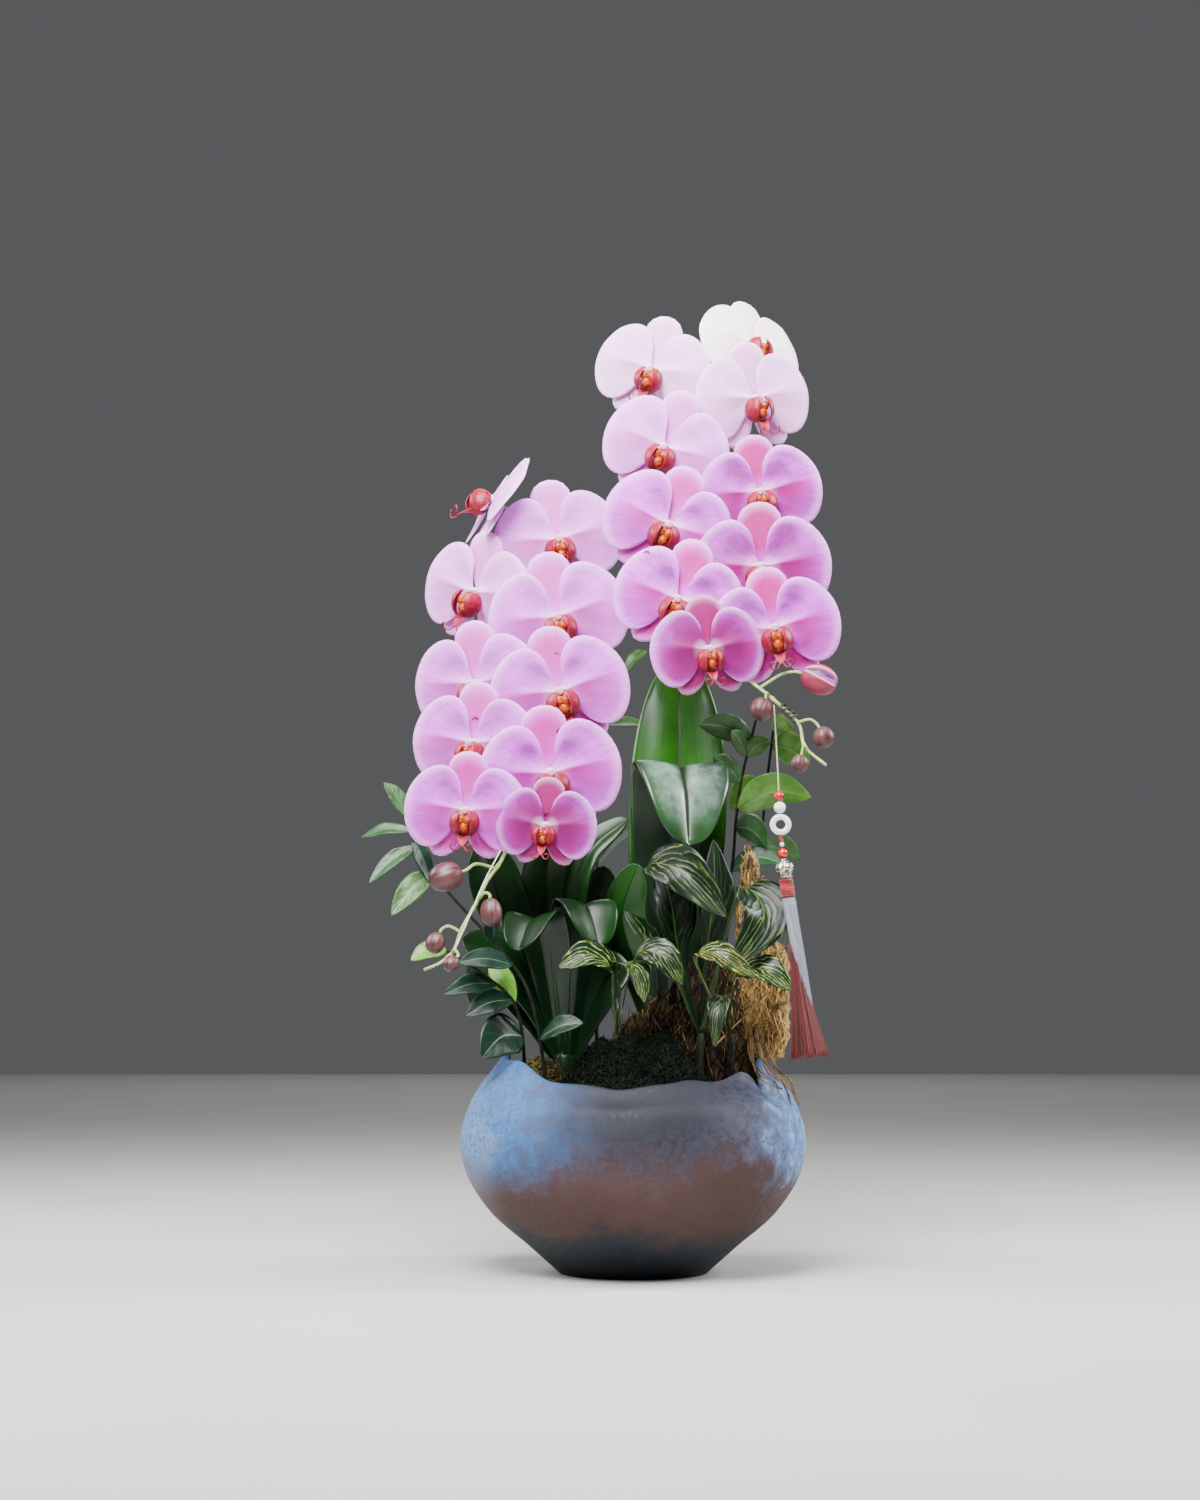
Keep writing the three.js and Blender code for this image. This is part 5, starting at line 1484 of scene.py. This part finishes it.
SLAB_OVER_RIM = POT_RIM_HEIGHT + 6
SLAB_FOOT = SOIL_EDGE_HEIGHT + 8
SLAB_MIDDLE = -9.5
# Roots per millimetre of a post's height, more of them where it is bright, and strands at its ends
COAT_DENSITY = 4
ENDS_DENSITY = 4.5
# Posts of the slab as (x, top, foot, radius).
SLAB_POSTS = [
    (3, 208, SLAB_FOOT, 14), (24, 224, SLAB_FOOT, 15), (46, 246, SLAB_FOOT, 15), (67, 252, SLAB_FOOT, 15),
    (86, 262, SLAB_FOOT, 13), (101, 320, SLAB_OVER_RIM, 14), (115, 268, SLAB_OVER_RIM, 10), (97, 342, 300, 5),
]
SLAB_ROOTS = [
    [(100, -12, 204), (100, -36, 184), (108, -56, 162), (118, -66, 154), (123, -69, 140)],
    [(108, -12, 196), (108, -34, 180), (115, -52, 163), (124, -60, 154), (129, -62, 138)],
    [(96, -12, 196), (94, -38, 176), (100, -58, 159), (110, -70, 153), (115, -74, 145)],
]


def slab_surface(u, v, post, k):
    """The ragged wall of a post, narrow at its top and, above the rim, at its foot."""
    x, top, foot, radius = post
    angle = 2 * math.pi * u
    height = foot + (top - foot) * v
    rough = 1 + 0.22 * wobble(2.2 * math.cos(angle) + k, 2.2 * math.sin(angle), height / 11)
    ends = 1 - 0.75 * smoothstep(0.86, 1, v)
    if foot > SLAB_FOOT:
        ends *= 0.35 + 0.65 * smoothstep(0, 0.2, v)
    width = radius * (1 - 0.15 * v) * rough * ends
    y = SLAB_MIDDLE + 1.5 * math.sin(2 * k) + 0.72 * width * math.sin(angle)
    return Vector((x + width * math.cos(angle), y, height))


def add_fern_slab(rng):
    """Fibrous posts with a coat of wiry roots, painted lit and golden at the right and dark at the left."""
    piece = Piece()
    for k, post in enumerate(SLAB_POSTS):
        x, top, foot, radius = post
        # Painted light: posts towards the right are painted lit and golden, those at the left dark.
        lit = 0.03 + 0.67 * smoothstep(80, 108, x)
        piece.grid(22, 40, lambda u, v, post=post, k=k: slab_surface(u, v, post, k), 0, (lit * 0.6, 0.1 * k))
        span = top - foot
        curl = 0.7 + 1.6 * lit
        for _ in range(int((COAT_DENSITY + COAT_DENSITY * lit) * span)):
            u, v = rng.random(), rng.random()
            lift = rng.uniform(0.2, 1.4 + 2.2 * lit)
            line, turn, drop = [], rng.uniform(-0.05, 0.05), rng.uniform(3, 9) / span
            for step in range(5):
                point = slab_surface(u + turn * step, clamp(v - drop * step), post, k)
                out = (point - Vector((x, SLAB_MIDDLE, point.z))).normalized()
                stray = loose(rng, curl)
                line.append(point + out * (lift + rng.uniform(-0.4, 0.8)) + stray)
            shade = clamp(lit + rng.uniform(-0.35, 0.3))
            piece.tube(line, rng.uniform(0.25, 0.5), 3, 0, (shade, rng.random()))
        for _ in range(int(ENDS_DENSITY * radius)):
            upward = rng.random() < 0.55
            v = rng.uniform(0.84, 1) if upward else rng.uniform(0.0, 0.16)
            start = slab_surface(rng.random(), v, post, k)
            aside, forward = rng.uniform(-5, 5), rng.uniform(-4, 3)
            rise = rng.uniform(2, 8) if upward else rng.uniform(-7, 1)
            end = start + Vector((aside, forward, rise))
            middle = (start + end) / 2 + loose(rng, 1.5)
            shade = clamp(lit + rng.uniform(-0.3, 0.3))
            piece.tube([start, middle, end], taper(0.45, 0.25), 3, 0, (shade, rng.random()))
    for root in SLAB_ROOTS:
        for _ in range(ROOT_STRANDS):
            spread = [loose(rng, 2.2) for _ in root]
            spread[-1].z -= rng.uniform(-2, 3)
            line = Path([Vector(p) + s for p, s in zip(root, spread)]).spaced(20)
            piece.tube(line, taper(0.65, 0.35), 5, 0, (rng.uniform(0.0, 0.2), rng.random()))
    twig = Path([(66, -27, 182), (88, -29, 204), (112, -26, 228)]).spaced(16)
    piece.tube(twig, taper(0.9, 0.4), 6, 0, (0.45, 0.2))
    fibre = fibre_material("fern_fibre", "0a0503", "f0c478", "54341a")
    settle(piece.build("fern_fibres", [fibre]), "fern_fibre", "fern_slab")


# Stake and wires

STAKE_FOOT = (-30, 44)
STAKE_TOP = 352
CLIP_HEIGHT = 312
CLIP_PITCH = 4.3
# Where the coil sits on the right stem, as shares of its length
COIL_START = 28.2 / 30
COIL_SPAN = 0.5 / 30
COIL_TURNS = 4
COIL_STEPS = 90


def add_wire(name, line, radius, skin, dark, light, node):
    piece = Piece()
    piece.tube(line, radius, 8)
    settle(piece.build(name, [coated_wire_material(skin, dark, light)]), skin, node)


def add_supports():
    """A stake with the three rings of its clip, a plain wire and a coiled one."""
    piece = Piece()
    piece.tube(upright(*STAKE_FOOT, STAKE_TOP, 20), 1.9, 12)
    ring = [(2.4, 0), (3.6, 0.4), (3.9, 2), (3.6, 3.6), (2.4, 4)]
    for k in range(3):
        piece.turned(ring, 16, Matrix.Translation((*STAKE_FOOT, CLIP_HEIGHT + CLIP_PITCH * k)), 1)
    bamboo = coated_wire_material("stake_skin", "2f3a26", "5a6344")
    clip = coated_wire_material("clip_skin", "2b4a3a", "4c7a60")
    settle(piece.build("stake_and_clip", [bamboo, clip]), "stake_green", "support_stake")
    route = Path([(-106, -84, 336), (-117, -95, 313), (-130, -107, 280), (-139, -114, 258)])
    add_wire("pale_wire", route.spaced(40), WIRE_RADIUS, "wire_pale", "bdb8a6", "efece0", "wire_left")
    add_wire("dark_coil", coil_line(), 1.5 * WIRE_RADIUS, "wire_dark", "1c1712", "40362c", "wire_right")


def coil_line():
    """A wire wound round the right stem, beside the place where the charm hangs."""
    stem = Path(RIGHT_STEM)
    offset = SPIKE_RADIUS + WIRE_RADIUS + 0.1
    points = []
    for k in range(COIL_STEPS + 1):
        share = COIL_START + COIL_SPAN * k / COIL_STEPS
        centre = stem.at_length(share)
        tangent = (stem.at_length(share + 0.002) - centre).normalized()
        side = tangent.cross(UP).normalized()
        over = side.cross(tangent)
        angle = 2 * math.pi * COIL_TURNS * k / COIL_STEPS
        points.append(centre + (side * math.cos(angle) + over * math.sin(angle)) * offset)
    return points


# Charm

CAP_LENGTH = 16
WRAP_LENGTH = 15
WRAP_TURNS = 11
STEPS_PER_TURN = 24
TASSEL_LENGTH = 92
STRAND_STEPS = 12


class CharmString:
    """Hangs one body below another along the charm's line."""

    def __init__(self):
        self.used = THREAD_LENGTH + CLEARANCE

    def next(self, size):
        start = charm_line.at_length(self.used / charm_line.length)
        end = charm_line.at_length(min(1, (self.used + size) / charm_line.length))
        self.used += size + CLEARANCE
        return Matrix.Translation(start) @ turn_to(start - end)


def ball_profile(radius, hole=0.5, rings=16):
    points = []
    low = math.asin(hole / radius)
    for k in range(rings + 1):
        angle = low + (math.pi - 2 * low) * k / rings
        points.append((radius * math.sin(angle), -radius + radius * math.cos(angle)))
    return points


def add_bead(name, node, slot, material, radius, string):
    piece = Piece()
    piece.turned(ball_profile(radius), 28, string.next(2 * radius))
    settle(piece.build(name, [material]), slot, node)


def ring_surface(radius, section, u, v):
    a, b = 2 * math.pi * u, 2 * math.pi * v
    reach = radius + section * math.cos(b)
    return Vector((reach * math.cos(a), 0.85 * section * math.sin(b), reach * math.sin(a)))


def skirt(piece, matrix, length, radii, rng, count, lean, lit):
    """Fine strands that hang from a round top, lean to the right and flare to a loose foot."""
    top_radius, foot_radius = radii
    for k in range(count):
        angle = 2 * math.pi * k / count + rng.uniform(-0.02, 0.02)
        inner = rng.uniform(0.8, 1.0)
        ends = length * rng.uniform(0.97, 1.0)
        line = []
        for step in range(STRAND_STEPS + 1):
            share = step / STRAND_STEPS
            flare = top_radius + (foot_radius - top_radius) * share ** 1.8
            wave = 0.3 * wobble(3 * share, angle * 3, k * 0.1)
            x = math.cos(angle) * flare * inner + wave + lean * share
            line.append(matrix @ Vector((x, math.sin(angle) * flare * inner, -ends * share)))
        radius = rng.uniform(0.35, 0.5)
        piece.tube(line, radius, 4, 0, (clamp(lit + rng.uniform(-0.4, 0.4)), rng.random()))


def add_ring(matrix, jade):
    ring = Piece()
    ring.grid(64, 24, lambda u, v: matrix @ ring_surface(STONE_RING_RADIUS, STONE_RING_SECTION, u, v))
    settle(ring.build("stone_ring", [jade]), "ring_stone", "charm_ring")


def add_loop(matrix, silk, jade):
    """A loop of two silk cords with a small bead at its foot."""
    loop = Piece()
    for x in (-0.7, 0.7):
        line = []
        for k in range(13):
            height = 4 - (LOOP_LENGTH + 3.6) * k / 12
            line.append(matrix @ Vector((x + 0.4 * math.sin(k), 0.3 * math.cos(2 * k), height)))
        loop.tube(line, 0.6, 7)
    loop.turned([(0.3, -5.4), (1.6, -6), (1.9, -7.2), (1.6, -8.4), (0.3, -9)], 14, matrix, 1)
    settle(loop.build("loop_and_small_bead", [silk, jade]), "red_cord", "charm_cord")


def add_charm():
    red = gem_material("red_glass", "8c0a08", "d8200f")
    jade = gem_material("white_stone", "cfdcd4", "f2f7f4", 0.2)
    silk = thread_material("red_silk", "6e0a0a", "c41a16", 60.0)
    string = CharmString()
    add_bead("bead_red_top", "charm_bead_top", "red_bead", red, BEAD_RADIUS, string)
    add_bead("bead_white", "charm_bead_white", "white_bead", jade, 1.2 * BEAD_RADIUS, string)
    reach = STONE_RING_RADIUS + STONE_RING_SECTION
    add_ring(string.next(2 * reach) @ Matrix.Translation((0, 0, -reach)), jade)
    add_loop(string.next(LOOP_LENGTH), silk, jade)
    add_bead("bead_red_low", "charm_bead_low", "red_bead", red, BEAD_RADIUS, string)
    add_cap(string.next(CAP_LENGTH))
    add_wrap(string.next(WRAP_LENGTH), silk)
    add_tassel(string.next(TASSEL_LENGTH), random.Random(5))


def add_cap(matrix):
    """A worked metal cap: a fluted bell over a ribbed neck, with a ring of studs."""
    cap = Piece()

    def bell(u, v):
        depth = -10 * v
        width = 2 + 5 * math.sin(math.pi / 2 * min(1, 1.25 * v)) - 1.2 * smoothstep(0.8, 1, v)
        flutes = 1 + 0.07 * math.cos(2 * math.pi * 8 * u) * smoothstep(0.1, 0.5, v)
        return matrix @ ring_point(width * flutes, 2 * math.pi * u, depth)

    cap.grid(64, 18, bell)
    neck = [
        (0.3, -9.5), (5.6, -9.8), (5.9, -10.8), (5.3, -11.6), (5.8, -12.6), (5.2, -13.4), (5.7, -14.4),
        (5.4, -15.8), (0.3, -16),
    ]
    cap.turned(neck, 32, matrix)
    for k in range(CAP_STUDS):
        stud = matrix @ Matrix.Translation(ring_point(6.1, 2 * math.pi * k / CAP_STUDS, -8))
        cap.turned(ball_profile(1.0, 0.05, 8), 10, stud)
    settle(cap.build("worked_cap", [metal_material()]), "cap_metal", "charm_cap")


def add_wrap(matrix, silk):
    """Turns of red silk wound side by side."""
    wrap = Piece()
    steps = WRAP_TURNS * STEPS_PER_TURN
    line = []
    for k in range(steps + 1):
        share = k / steps
        angle = 2 * math.pi * WRAP_TURNS * share
        line.append(matrix @ ring_point(4.9 + 0.35 * share, angle, -0.7 - 13.6 * share))
    wrap.tube(line, 0.68, 6)
    wrap.turned([(0.3, -0.2), (4.8, -0.4), (5.0, -14.6), (0.3, -14.8)], 20, matrix)
    settle(wrap.build("silk_wrap", [silk]), "red_cord", "charm_wrap")


def add_tassel(matrix, rng):
    """A white skirt over a longer red one that flares at its foot."""
    white = Piece()
    core = [(0.3, 0), (4.6, -0.3), (4.8, -44), (1.2, -88), (0.3, -88.5)]
    white.turned(core, 28, matrix @ Matrix.Shear("XY", 4, (-0.03, 0)), 0, (0.7, 0.3))
    skirt(white, matrix, TASSEL_LENGTH, (5.0, 3.4), rng, WHITE_STRANDS, 3.6, 0.8)
    material = strand_material("white_silk", "5a6068", "888e96")
    settle(white.build("white_skirt", [material]), "tassel_white", "tassel_white")
    red = Piece()
    skirt(red, matrix @ Matrix.Translation((-0.6, 1.6, -36)), 91, (4.6, 15.5), rng, RED_STRANDS, 0.0, 0.5)
    skirt(red, matrix @ Matrix.Translation((-0.6, 1.6, -56)), 70, (3.6, 10), rng, INNER_RED_STRANDS, 0.0, 0.3)
    material = strand_material("red_strands", "340406", "780a0a")
    settle(red.build("red_skirt", [material]), "tassel_red", "tassel_red")


# Stage and light

FLOOR_REACH = 8
SKY = (0.93, 0.95, 1.0, 1)
SKY_STRENGTH = 0.11
# Round lamps as (name, place, target, width, power)
LAMPS = [
    ("key", (-0.25, -0.95, 1.2), (0.0, 0, 0.72), 0.7, 46),
    ("left", (-1.4, 0.1, 1.2), (0, 0, 0.35), 0.8, 34),
    ("right", (1.5, 0.1, 1.2), (0, 0, 0.35), 0.8, 46),
    ("top", (0.0, -0.4, 1.4), (0.05, 0, 0.72), 0.6, 20),
    ("far", (0, 5.5, 4.6), (0, 5.5, 0), 3, 70),
]


def add_stage():
    data = bpy.data.meshes.new("floor")
    low, high = -FLOOR_REACH, FLOOR_REACH
    data.from_pydata([(low, low, 0), (high, low, 0), (high, high, 0), (low, high, 0)], [], [(0, 1, 2, 3)])
    data.materials.append(floor_material())
    linked("floor", data)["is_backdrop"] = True
    world = bpy.data.worlds.new("studio")
    world.use_nodes = True
    sky = world.node_tree.nodes["Background"]
    sky.inputs[0].default_value = SKY
    sky.inputs[1].default_value = SKY_STRENGTH
    bpy.context.scene.world = world
    for lamp in LAMPS:
        add_light(*lamp)


def add_light(name, place, target, width, power):
    data = bpy.data.lights.new(name, "AREA")
    data.shape = "DISK"
    data.size = width
    data.energy = power
    light = linked(name, data)
    light.location = place
    light.rotation_euler = (Vector(target) - Vector(place)).to_track_quat("-Z", "Y").to_euler()


def write_sizes():
    boxes = {"cad": CAD_BOX, "visual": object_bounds()}
    plain = {key: [list(corner) for corner in box] for key, box in boxes.items()}


add_camera()
thread, thread_top = add_thread()
add_pot()
add_blooms()
add_spikes()
add_rosettes()
add_branches()
add_striped_tufts()
add_medium(random.Random(1))
add_moss(random.Random(2))
add_sphagnum(random.Random(3))
add_fern_slab(random.Random(4))
add_supports()
add_charm()
tuple(thread_top)
add_stage()
write_sizes()
